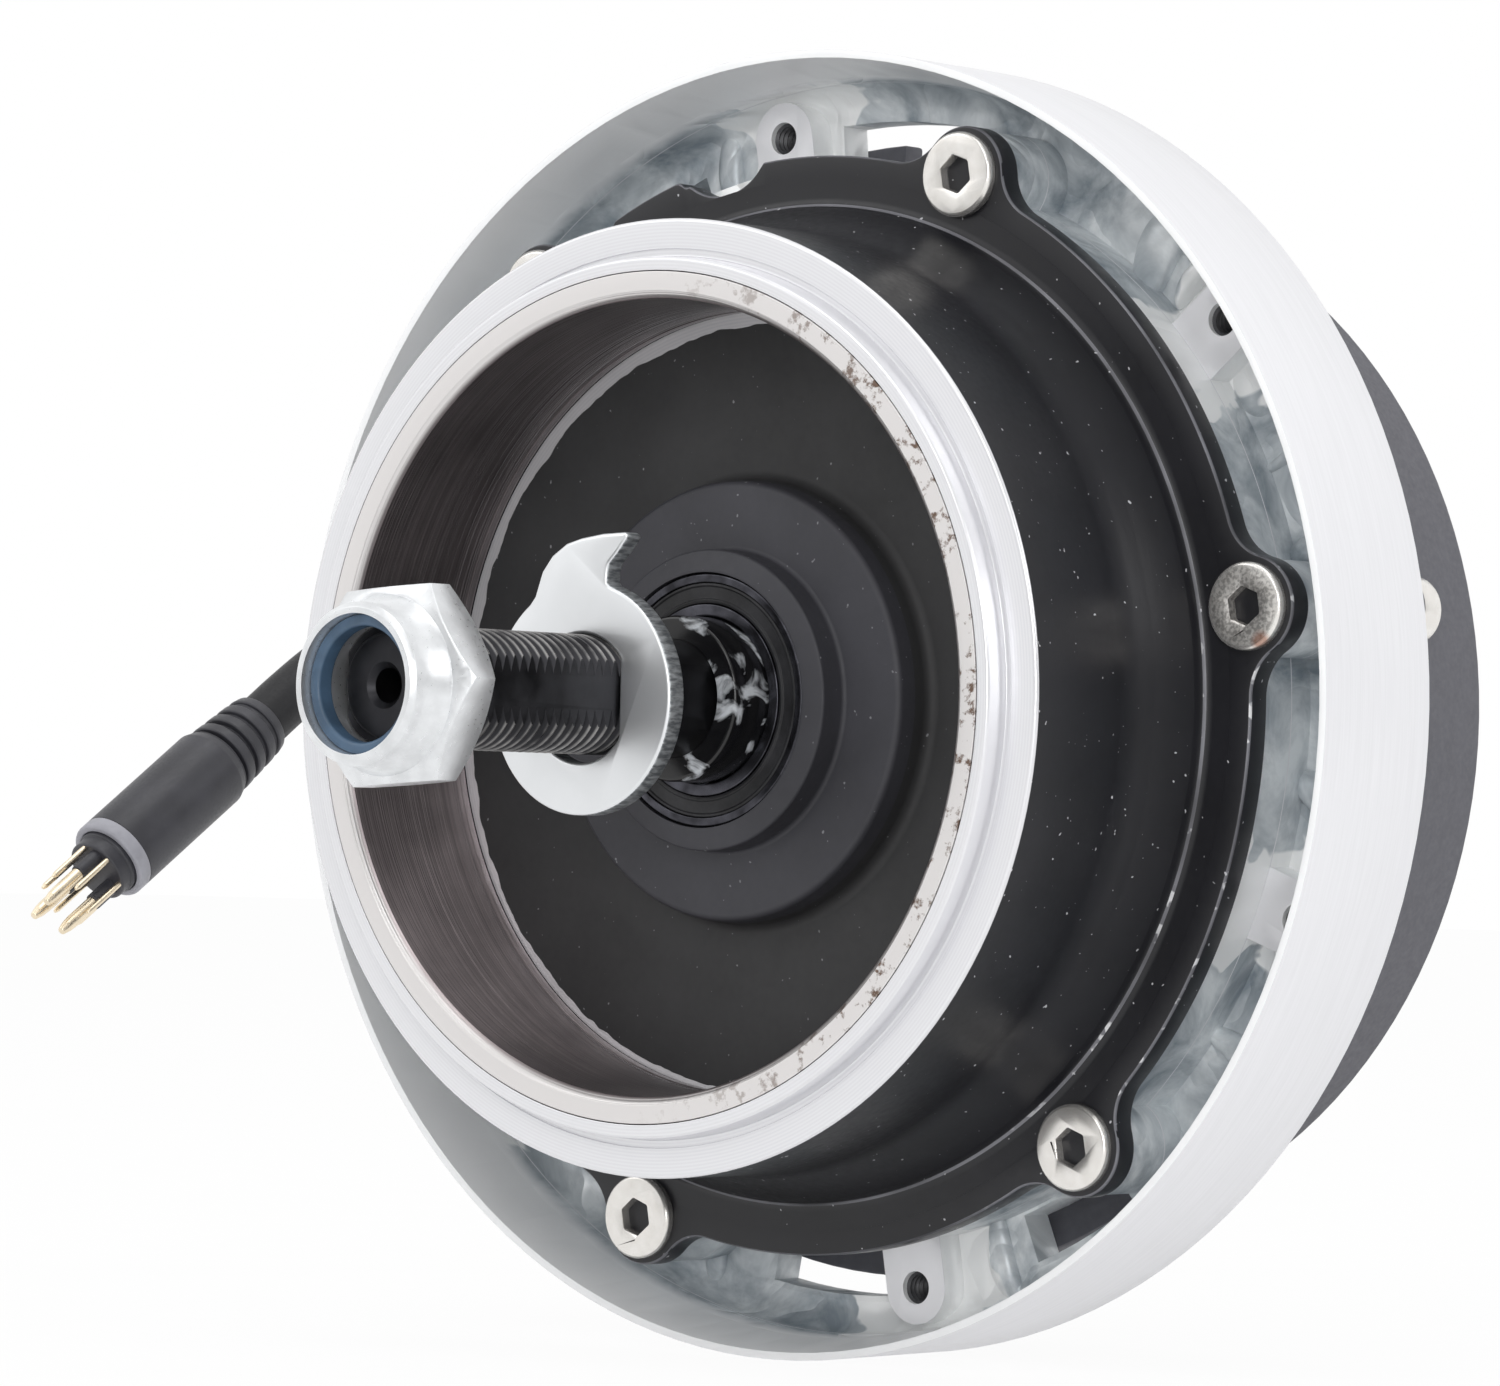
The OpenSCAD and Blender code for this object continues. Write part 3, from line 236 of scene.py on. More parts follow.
def ease(ob, width, segments=2, angle=35):
    """Rounds a piece's sharp edges."""
    apply_modifier(ob, "BEVEL", width=width, segments=segments, limit_method="ANGLE", angle_limit=math.radians(angle),
                   use_clamp_overlap=True, miter_outer="MITER_ARC")


def cut(ob, at, normal):
    """Cuts a closed piece flat, throwing away what lies outside the plane, which is given in mm. The fill misses
    faces under 0.1 mm, so the mesh is made 1000 times larger for the cut."""
    place(ob, Matrix.Scale(1 / MM, 4))
    alone(ob)
    edit_all()
    bpy.ops.mesh.bisect(plane_co=at, plane_no=normal, use_fill=True, clear_outer=True)
    face_out()
    place(ob, Matrix.Scale(MM, 4))


def join(name, *pieces):
    """Makes one object of several."""
    alone(pieces[0])
    for p in pieces:
        p.select_set(True)
    bpy.ops.object.join()
    pieces[0].name = name
    return pieces[0]


def polar(radius, angle, y=0):
    """A place in metres, from its radius and y in mm and its angle in degrees about the axle's line."""
    a = math.radians(angle)
    return radius * MM * math.cos(a), y * MM, radius * MM * math.sin(a)


def place(ob, matrix):
    """Moves a piece's mesh to its place and leaves its object at the origin."""
    ob.data.transform(matrix)
    ob.data.update()


def tag(ob, name, wanted):
    """Marks a piece's faces, 1 where wanted says so and 0 elsewhere, in an attribute that a finish reads."""
    mark = ob.data.attributes.new(name, "FLOAT", "FACE")
    for k, face in enumerate(ob.data.polygons):
        mark.data[k].value = 1.0 if wanted(face) else 0.0


def settle(ob, body, slot, node, look=None, angle=32):
    """Ends a piece: shading, finish, the body that it rides on and the CAD node that it stands for. look names the
    finish where it isn't the slot's own."""
    if ob.type == "MESH":
        alone(ob)
        bpy.ops.object.shade_smooth_by_angle(angle=math.radians(angle))
    ob.data.materials.clear()
    ob.data.materials.append(FINISH[look or slot])
    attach(ob, body)
    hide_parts(node)


def add(tree, kind, sockets=(), **settings):
    """Adds one node: its settings, then its inputs, in order or by name, each a value or the output that feeds it.
    Gives back the node's outputs."""
    node = tree.nodes.new("ShaderNode" + kind)
    for key, value in settings.items():
        setattr(node, key, value)
    for key, value in sockets.items() if isinstance(sockets, dict) else enumerate(sockets):
        if isinstance(value, bpy.types.NodeSocket):
            tree.links.new(value, node.inputs[key])
        else:
            node.inputs[key].default_value = value
    return node.outputs


def blank(name):
    """A new material, its empty node tree and the object's own coordinates in it."""
    finish = bpy.data.materials.new(name)
    finish.use_nodes = True
    finish.node_tree.nodes.clear()
    return finish, finish.node_tree, add(finish.node_tree, "TexCoord")["Object"]


def shaded(finish, sockets):
    """Ends a material with its shader, which these values and outputs feed."""
    shader = add(finish.node_tree, "BsdfPrincipled", sockets)[0]
    add(finish.node_tree, "OutputMaterial", {"Surface": shader})
    return finish


def from_axle(tree, where):
    """A point's distance from the axle's line."""
    flat = add(tree, "Mapping", {"Vector": where, "Scale": (1, 0, 1)})[0]
    return add(tree, "VectorMath", (flat,), operation="LENGTH")["Value"]


def grainy(name, light, dark, patch, rough, metallic, grain, depth, specular=0.5, stretch=(1, 1, 1), spread=0.08,
           coat=0.0):
    """A finish with cloudy colour, uneven gloss and a fine grain. patch, grain and depth are in mm."""
    finish, tree, where = blank(name)
    along = add(tree, "Mapping", {"Vector": where, "Scale": stretch})[0]
    cloud = add(tree, "TexNoise", {"Vector": where, "Scale": 1 / (patch * MM), "Detail": 4.0})[0]
    share = add(tree, "MapRange", (cloud, 0.36, 0.64))[0]
    tone = add(tree, "Mix", {0: share, 6: dark, 7: light}, data_type="RGBA")[2]
    fine = add(tree, "TexNoise", {"Vector": along, "Scale": 1 / (grain * MM), "Detail": 3.0})[0]
    gloss = add(tree, "MapRange", (fine, 0.3, 0.7, rough - spread, rough + spread))[0]
    bump = add(tree, "Bump", {"Height": fine, "Distance": depth * MM, "Strength": 1.0})[0]
    return shaded(finish, {"Base Color": tone, "Roughness": gloss, "Normal": bump, "Metallic": metallic,
                           "Specular IOR Level": specular, "Coat Weight": coat})


def darker(colour, by):
    """A colour with its red, green and blue multiplied."""
    return (*[c * by for c in colour[:3]], 1.0)


def cover_paint(c):
    """Satin black powder coat on a die casting: almost black, soft highlights, a few dust specks. A lathe has cut the
    rim bare after coating, and the liner's boring bar has left a ragged bare ring at the floor's edge."""
    finish, tree, where = blank("satin_black_coat")
    xyz = add(tree, "SeparateXYZ", {"Vector": where})
    r = from_axle(tree, where)
    # Radii of the liner's bore, the raised disc and the drum's foot on the flange
    bore_r, disc_r, foot_r = 40.3 * MM, 22.7 * MM, 51.78 * MM
    # Cloudy tone, 14 mm patches
    cloud = add(tree, "TexNoise", {"Vector": where, "Scale": 70.0, "Detail": 4.0})[0]
    share = add(tree, "MapRange", (cloud, 0.3, 0.7, 0.8, 1.25))[0]
    inside = add(tree, "Math", (r, bore_r), operation="LESS_THAN")[0]
    raised = add(tree, "Math", (r, disc_r), operation="LESS_THAN")[0]
    coat = add(tree, "Mix", {0: inside, 6: c.cover, 7: c.floor}, data_type="RGBA")[2]
    coat = add(tree, "Mix", {0: raised, 6: coat, 7: c.disc}, data_type="RGBA")[2]
    coat = add(tree, "VectorMath", {0: coat, "Scale": share}, operation="SCALE")[0]
    # The coat is thin and paler on the flange's edge, which is wear; the thin pale line where the drum's fillet meets
    # the flange is a painted highlight
    wear_and_highlight = add(tree, "Attribute", attribute_name="wear_and_highlight")["Fac"]
    # A painted highlight: a thin pale line round the drum's foot, joined to the edge wear below
    line = add(tree, "Math", (r, foot_r, 0.13 * MM), operation="COMPARE")[0]
    wear_and_highlight = add(tree, "Math", (wear_and_highlight, line), operation="MAXIMUM")[0]
    patchy = add(tree, "MapRange", (cloud, 0.3, 0.6, 0.25))[0]
    wear_and_highlight = add(tree, "Math", (wear_and_highlight, patchy), operation="MULTIPLY")[0]
    coat = add(tree, "Mix", {0: wear_and_highlight, 6: coat, 7: linear("#7a7a80")}, data_type="RGBA")[2]
    # Chips of 0.5 to 1 mm on the same edge at the lower right
    chip = add(tree, "TexNoise", {"Vector": where, "Scale": 520.0, "Detail": 2.0})[0]
    chip = add(tree, "MapRange", (chip, 0.58, 0.62))[0]
    low_right = add(tree, "VectorMath", (where, (0.92, 0.0, -0.39)), operation="DOT_PRODUCT")["Value"]
    low_right = add(tree, "MapRange", (low_right, 42 * MM, 50 * MM))[0]
    chip = add(tree, "Math", (chip, low_right), operation="MULTIPLY")[0]
    chip = add(tree, "Math", (chip, wear_and_highlight), operation="MULTIPLY")[0]
    coat = add(tree, "Mix", {0: chip, 6: coat, 7: linear("#e6e6e8")}, data_type="RGBA")[2]
    # Dust specks of 0.2 to 0.4 mm
    dust = add(tree, "TexNoise", {"Vector": where, "Scale": 1500.0, "Detail": 1.0})[0]
    dust = add(tree, "MapRange", (dust, 0.752, 0.79))[0]
    clean = add(tree, "MapRange", (inside, 0.0, 1.0, 1.0, 0.4))[0]
    dust = add(tree, "Math", (dust, clean), operation="MULTIPLY")[0]
    coat = add(tree, "Mix", {0: dust, 6: coat, 7: linear("#b9b9bd")}, data_type="RGBA")[2]
    # Bare metal on the rim
    rim = add(tree, "MapRange", (xyz["Y"], -29.75 * MM, -29.83 * MM))[0]
    # Bare ring at the floor's edge: wide at the top left, nothing at the lower right, with a ragged coat edge
    lean = add(tree, "VectorMath", (where, (-0.4226, 0.0, 0.9063)), operation="DOT_PRODUCT")["Value"]
    ragged = add(tree, "TexNoise", {"Vector": where, "Scale": 230.0, "Detail": 2.0})[0]
    edge = add(tree, "Math", (lean, -0.013, 38.5 * MM), operation="MULTIPLY_ADD")[0]
    edge = add(tree, "Math", (ragged, 1.7 * MM, edge), operation="MULTIPLY_ADD")[0]
    bare = add(tree, "Math", (r, edge), operation="GREATER_THAN")[0]
    bare = add(tree, "Math", (bare, inside), operation="MULTIPLY")[0]
    low = add(tree, "Math", (xyz["Y"], -14.5 * MM), operation="GREATER_THAN")[0]
    bare = add(tree, "Math", (bare, low), operation="MULTIPLY")[0]
    metal = add(tree, "Math", (bare, rim), operation="MAXIMUM")[0]
    # Turning marks, one every 0.35 mm of radius
    marks = add(tree, "Math", (r, 18000.0), operation="MULTIPLY")[0]
    marks = add(tree, "Math", (marks,), operation="SINE")[0]
    bright = add(tree, "MapRange", (marks, -1.0, 1.0, 0.93, 1.0))[0]
    bright = add(tree, "VectorMath", {0: tuple(c.bright[:3]), "Scale": bright}, operation="SCALE")[0]
    tone = add(tree, "Mix", {0: metal, 6: coat, 7: bright}, data_type="RGBA")[2]
    # Orange peel of the coat, 0.8 mm waves
    peel = add(tree, "TexNoise", {"Vector": where, "Scale": 1250.0, "Detail": 2.0})[0]
    matt = add(tree, "MapRange", (inside, 0.0, 1.0, 0.33, 0.55))[0]
    gloss = add(tree, "MapRange", (peel, 0.3, 0.7, -0.04, 0.05))[0]
    gloss = add(tree, "Math", (gloss, matt), operation="ADD")[0]
    gloss = add(tree, "Mix", {0: metal, 2: gloss, 3: 0.24}, data_type="FLOAT")[0]
    bump = add(tree, "Bump", {"Height": peel, "Distance": 0.006 * MM, "Strength": 1.0})[0]
    metal = add(tree, "Math", (metal, 0.55), operation="MULTIPLY")[0]
    return shaded(finish, {"Base Color": tone, "Metallic": metal, "Roughness": gloss, "Normal": bump,
                           "Specular IOR Level": 0.42})


def liner_iron(c):
    """Grey cast iron, bored and then rubbed by the brake shoes: a dark, polished brown-black wall with fine rings
    round it, and a pale machined front edge with ragged brown wear."""
    finish, tree, where = blank("bored_cast_iron")
    xyz = add(tree, "SeparateXYZ", {"Vector": where})
    # Rings 0.8 mm apart, coarser than the real ones so that they show: the noise runs along the axle only
    rings = add(tree, "Mapping", {"Vector": where, "Scale": (0.002, 1, 0.002)})[0]
    rings = add(tree, "TexNoise", {"Vector": rings, "Scale": 1300.0, "Detail": 2.0})[0]
    cloud = add(tree, "TexNoise", {"Vector": where, "Scale": 90.0, "Detail": 5.0})[0]
    share = add(tree, "Math", (rings, cloud), operation="MULTIPLY")[0]
    share = add(tree, "MapRange", (share, 0.14, 0.4))[0]
    wall = add(tree, "Mix", {0: share, 6: darker(c.liner, 0.55), 7: darker(c.liner, 1.15)}, data_type="RGBA")[2]
    # Paler at the lower left: a painted highlight that stands in for a lamp's sheen spread along the rubbed wall
    lean = add(tree, "VectorMath", (where, (-0.8, 0.0, -0.6)), operation="DOT_PRODUCT")["Value"]
    lean = add(tree, "MapRange", (lean, 30 * MM, 40.2 * MM, 0.85, 2.9), interpolation_type="SMOOTHSTEP")[0]
    wall = add(tree, "VectorMath", {0: wall, "Scale": lean}, operation="SCALE")[0]
    # Rust and dust in ragged spots of 1 to 2 mm on the right half of the front edge
    spots = add(tree, "TexNoise", {"Vector": where, "Scale": 420.0, "Detail": 5.0, "Roughness": 0.7})[0]
    spots = add(tree, "MapRange", (spots, 0.55, 0.62))[0]
    right = add(tree, "MapRange", (xyz["X"], 0.0, 30 * MM))[0]
    spots = add(tree, "Math", (spots, right), operation="MULTIPLY")[0]
    rim = add(tree, "Mix", {0: spots, 6: c.liner_edge, 7: c.wear}, data_type="RGBA")[2]
    front = add(tree, "MapRange", (xyz["Y"], -31.9 * MM, -32.3 * MM))[0]
    tone = add(tree, "Mix", {0: front, 6: wall, 7: rim}, data_type="RGBA")[2]
    gloss = add(tree, "MapRange", (rings, 0.3, 0.7, 0.27, 0.38))[0]
    # Scratches 0.2 mm apart round the wall, which spread a lamp's highlight along the axle
    fine = add(tree, "Mapping", {"Vector": where, "Scale": (0.004, 1, 0.004)})[0]
    fine = add(tree, "TexNoise", {"Vector": fine, "Scale": 4800.0, "Detail": 1.0})[0]
    bump = add(tree, "Bump", {"Height": fine, "Distance": 0.12 * MM, "Strength": 1.0})[0]
    return shaded(finish, {"Base Color": tone, "Roughness": gloss, "Normal": bump, "Metallic": 0.62})


def shell_metal(c):
    """Die-cast aluminium: mottled bluish grey with flow marks and pits, and cut bright by a lathe on the outer band
    and on the faces of the bosses."""
    finish, tree, where = blank("die_cast_aluminium")
    xyz = add(tree, "SeparateXYZ", {"Vector": where})
    r = from_axle(tree, where)
    # Flow marks of 5 to 15 mm
    flow = add(tree, "TexNoise", {"Vector": where, "Scale": 110.0, "Detail": 5.0, "Roughness": 0.6,
                                  "Distortion": 0.6})[0]
    share = add(tree, "MapRange", (flow, 0.34, 0.64))[0]
    cast = add(tree, "Mix", {0: share, 6: c.cast_dark, 7: c.cast}, data_type="RGBA")[2]
    # A painted highlight: near-white metal for 9 mm round each of the six bosses, with a wavy border
    turn = add(tree, "Math", (xyz["Z"], xyz["X"]), operation="ARCTAN2")[0]
    middle, half = math.radians(BOSS_ANGLE), math.radians(SIXTH / 2)
    turn = add(tree, "Math", (turn, middle + half, middle - half), operation="WRAP")[0]
    across = add(tree, "Math", (turn, BOSS_R * MM, -BOSS_R * MM * middle), operation="MULTIPLY_ADD")[0]
    along = add(tree, "Math", (r, BOSS_R * MM), operation="SUBTRACT")[0]
    spot = add(tree, "CombineXYZ", {"X": across, "Y": along})[0]
    spot = add(tree, "VectorMath", (spot,), operation="LENGTH")["Value"]
    border = add(tree, "TexNoise", {"Vector": where, "Scale": 160.0, "Detail": 2.0, "Distortion": 0.8})[0]
    spot = add(tree, "Math", (border, 14 * MM, spot), operation="MULTIPLY_ADD")[0]
    pale = add(tree, "MapRange", (spot, 15.8 * MM, 15.2 * MM))[0]
    cast = add(tree, "Mix", {0: pale, 6: cast, 7: linear("#f6f7f7")}, data_type="RGBA")[2]
    band = add(tree, "MapRange", (r, 65.5 * MM, 65.8 * MM))[0]
    boss = add(tree, "Math", (xyz["Y"], 1.7 * MM, 0.08 * MM), operation="COMPARE")[0]
    cutting = add(tree, "Math", (band, boss), operation="MAXIMUM")[0]
    # Turning marks 0.3 mm apart along the band
    marks = add(tree, "Mapping", {"Vector": where, "Scale": (0.03, 1, 0.03)})[0]
    marks = add(tree, "TexNoise", {"Vector": marks, "Scale": 3000.0, "Detail": 2.0})[0]
    streak = add(tree, "MapRange", (marks, 0.3, 0.7, 0.95, 1.0))[0]
    bright = add(tree, "VectorMath", {0: tuple(c.bright[:3]), "Scale": streak}, operation="SCALE")[0]
    tone = add(tree, "Mix", {0: cutting, 6: cast, 7: bright}, data_type="RGBA")[2]
    # The band's inner wall is a pale matt skin
    wall = add(tree, "Math", (r, 67.65 * MM), operation="LESS_THAN")[0]
    wall = add(tree, "Math", (wall, band), operation="MULTIPLY")[0]
    tone = add(tree, "Mix", {0: wall, 6: tone, 7: linear("#f7f8f9")}, data_type="RGBA")[2]
    # The threads in the tapped holes are drawn dark grey
    bore = add(tree, "Attribute", attribute_name="bore")["Fac"]
    tone = add(tree, "Mix", {0: bore, 6: tone, 7: linear("#4b4b4e")}, data_type="RGBA")[2]
    # Casting skin, 0.7 mm grain
    skin = add(tree, "TexNoise", {"Vector": where, "Scale": 1400.0, "Detail": 3.0})[0]
    # Waves left where the metal met in the die, 9 mm across and 0.5 mm deep, with soft ridges between them
    wave = add(tree, "TexNoise", {"Vector": where, "Scale": 105.0, "Detail": 1.5, "Distortion": 1.1})[0]
    wave = add(tree, "Math", (wave, 0.5), operation="SUBTRACT")[0]
    wave = add(tree, "Math", (wave,), operation="ABSOLUTE")[0]
    still = add(tree, "Math", (1.0, cutting), operation="SUBTRACT")[0]
    wave = add(tree, "Math", (wave, still), operation="MULTIPLY")[0]
    height = add(tree, "Mix", {0: cutting, 2: skin, 3: marks}, data_type="FLOAT")[0]
    bump = add(tree, "Bump", {"Height": height, "Distance": 0.01 * MM, "Strength": 0.6})[0]
    bump = add(tree, "Bump", {"Height": wave, "Distance": 3 * MM, "Strength": 0.6, "Normal": bump})[0]
    gloss = add(tree, "MapRange", (flow, 0.3, 0.7, 0.5, 0.36))[0]
    gloss = add(tree, "Mix", {0: cutting, 2: gloss, 3: 0.36}, data_type="FLOAT")[0]
    shine = add(tree, "MapRange", (wall, 0.0, 1.0, 0.35, 0.08))[0]
    return shaded(finish, {"Base Color": tone, "Roughness": gloss, "Normal": bump, "Metallic": shine})


def axle_oxide(c):
    """Black oxide on rolled steel, oiled: dark and satin, rubbed bright on the crests of the thread, which is partly
    wear and partly a painted highlight.
    """
    finish, tree, where = blank("black_oxide_steel")
    xyz = add(tree, "SeparateXYZ", {"Vector": where})
    r = from_axle(tree, where)
    # The crests of the threaded ends, without the flats
    crest = add(tree, "MapRange", (r, 5.8 * MM, 5.99 * MM, 0.0, 0.6))[0]
    side = add(tree, "Math", (xyz["X"],), operation="ABSOLUTE")[0]
    side = add(tree, "Math", (side, 4.97 * MM), operation="LESS_THAN")[0]
    crest = add(tree, "Math", (crest, side), operation="MULTIPLY")[0]
    end = add(tree, "Math", (xyz["Y"], -39.9 * MM), operation="LESS_THAN")[0]
    back = add(tree, "Math", (xyz["Y"], 48.3 * MM), operation="GREATER_THAN")[0]
    end = add(tree, "Math", (end, back), operation="MAXIMUM")[0]
    crest = add(tree, "Math", (crest, end), operation="MULTIPLY")[0]
    # Oil and handling marks, 3 mm
    cloud = add(tree, "TexNoise", {"Vector": where, "Scale": 330.0, "Detail": 6.0})[0]
    # The pale crests are partly wear and partly a painted highlight
    rub_and_highlight = add(tree, "MapRange", (cloud, 0.3, 0.62))[0]
    rub_and_highlight = add(tree, "Math", (rub_and_highlight, crest), operation="MULTIPLY")[0]
    base = add(tree, "MapRange", (cloud, 0.3, 0.7, 0.75, 1.35))[0]
    base = add(tree, "VectorMath", {0: tuple(c.oxide[:3]), "Scale": base}, operation="SCALE")[0]
    tone = add(tree, "Mix", {0: rub_and_highlight, 6: base, 7: linear("#c3c1bf")}, data_type="RGBA")[2]
    gloss = add(tree, "MapRange", (cloud, 0.3, 0.7, 0.3, 0.48))[0]
    bump = add(tree, "Bump", {"Height": cloud, "Distance": 0.01 * MM, "Strength": 0.6})[0]
    return shaded(finish, {"Base Color": tone, "Roughness": gloss, "Normal": bump, "Metallic": 0.85})


def collar_gloss(c):
    """Black oxide on a ground collar, wet with grease: glossy black with whitish smears, the largest at the front
    edge."""
    finish, tree, where = blank("greased_black_steel")
    smear = add(tree, "TexNoise", {"Vector": where, "Scale": 260.0, "Detail": 5.0, "Distortion": 0.8})[0]
    # Thick round one spot of the front edge, thin streaks elsewhere
    spot = add(tree, "VectorMath", (where, (0.0072, -0.0262, 0.0015)), operation="DISTANCE")["Value"]
    near = add(tree, "MapRange", (spot, 6 * MM, 2 * MM, 0.0, 0.14))[0]
    smear = add(tree, "Math", (smear, near), operation="ADD")[0]
    smear = add(tree, "MapRange", (smear, 0.61, 0.7))[0]
    tone = add(tree, "Mix", {0: smear, 6: linear("#121214"), 7: linear("#c9cdd2")}, data_type="RGBA")[2]
    fine = add(tree, "TexNoise", {"Vector": where, "Scale": 900.0, "Detail": 4.0})[0]
    height = add(tree, "Math", (fine, smear), operation="MULTIPLY")[0]
    bump = add(tree, "Bump", {"Height": height, "Distance": 0.2 * MM, "Strength": 0.8})[0]
    gloss = add(tree, "MapRange", (smear, 0.0, 1.0, 0.16, 0.4))[0]
    return shaded(finish, {"Base Color": tone, "Roughness": gloss, "Normal": bump})


def sheared_zinc(c):
    """Bright zinc on a washer stamped from 3 mm sheet: nearly white faces, and grey torn sides with marks across the
    sheet's thickness."""
    finish, tree, where = blank("zinc_on_stamped_steel")
    side = add(tree, "Attribute", attribute_name="side")["Fac"]
    cloud = add(tree, "TexNoise", {"Vector": where, "Scale": 200.0, "Detail": 4.0})[0]
    face = add(tree, "Mix", {0: cloud, 6: darker(c.zinc, 0.9), 7: c.zinc}, data_type="RGBA")[2]
    # Tear marks 0.4 mm wide
    tear = add(tree, "Mapping", {"Vector": where, "Scale": (1, 0.25, 1)})[0]
    tear = add(tree, "TexNoise", {"Vector": tear, "Scale": 2600.0, "Detail": 3.0})[0]
    share = add(tree, "MapRange", (tear, 0.38, 0.62))[0]
    torn = add(tree, "Mix", {0: share, 6: linear("#85898d"), 7: linear("#cdd1d4")}, data_type="RGBA")[2]
    tone = add(tree, "Mix", {0: side, 6: face, 7: torn}, data_type="RGBA")[2]
    height = add(tree, "Math", (tear, side), operation="MULTIPLY")[0]
    bump = add(tree, "Bump", {"Height": height, "Distance": 0.1 * MM, "Strength": 1.0})[0]
    gloss = add(tree, "MapRange", (side, 0.0, 1.0, 0.32, 0.48))[0]
    return shaded(finish, {"Base Color": tone, "Roughness": gloss, "Normal": bump, "Metallic": 0.85})


def screw_nickel(c):
    """Bright nickel plate on small steel screws: warm white and smooth. The screw at the right is duller and speckled,
    with rust dust in its socket and at its lower edge."""
    finish, tree, where = blank("nickel_plate")
    # From the middle of the right screw's head
    off = add(tree, "VectorMath", (where, (0.0568, -0.0078, 0.0097)), operation="DISTANCE")["Value"]
    dull = add(tree, "MapRange", (off, 4.1 * MM, 3.7 * MM))[0]
    speck = add(tree, "TexNoise", {"Vector": where, "Scale": 2600.0, "Detail": 2.0})[0]
    speck = add(tree, "MapRange", (speck, 0.42, 0.6))[0]
    speck = add(tree, "Math", (speck, dull), operation="MULTIPLY")[0]
    speck = add(tree, "Math", (speck, 0.55), operation="MULTIPLY")[0]
    cloud = add(tree, "TexNoise", {"Vector": where, "Scale": 650.0, "Detail": 3.0})[0]
    tone = add(tree, "Mix", {0: cloud, 6: linear("#dedad4"), 7: linear("#f4f2ef")}, data_type="RGBA")[2]
    tone = add(tree, "Mix", {0: speck, 6: tone, 7: linear("#6f6a66")}, data_type="RGBA")[2]
    # From the lower edge of the same head
    rust = add(tree, "VectorMath", (where, (0.0589, -0.0078, 0.0062)), operation="DISTANCE")["Value"]
    rust = add(tree, "MapRange", (rust, 1.3 * MM, 0.6 * MM, 0.0, 0.7))[0]
    tone = add(tree, "Mix", {0: rust, 6: tone, 7: linear("#9a5a34")}, data_type="RGBA")[2]
    gloss = add(tree, "MapRange", (dull, 0.0, 1.0, 0.24, 0.36))[0]
    bump = add(tree, "Bump", {"Height": speck, "Distance": 0.02 * MM, "Strength": 0.5})[0]
    return shaded(finish, {"Base Color": tone, "Roughness": gloss, "Normal": bump, "Metallic": 0.88})


def stacked_steel(c):
    """Stator core of stamped electrical sheet: grey, with a dark line every 0.5 mm along the axle."""
    finish, tree, where = blank("stacked_sheet_steel")
    y = add(tree, "SeparateXYZ", {"Vector": where})["Y"]
    line = add(tree, "Math", (y, 12566.0), operation="MULTIPLY")[0]
    line = add(tree, "Math", (line,), operation="SINE")[0]
    line = add(tree, "MapRange", (line, -1.0, -0.6))[0]
    tone = add(tree, "Mix", {0: line, 6: linear("#4a4a4e"), 7: linear("#85868c")}, data_type="RGBA")[2]
    bump = add(tree, "Bump", {"Height": line, "Distance": 0.05 * MM, "Strength": 0.8})[0]
    return shaded(finish, {"Base Color": tone, "Roughness": 0.5, "Normal": bump, "Metallic": 0.8})


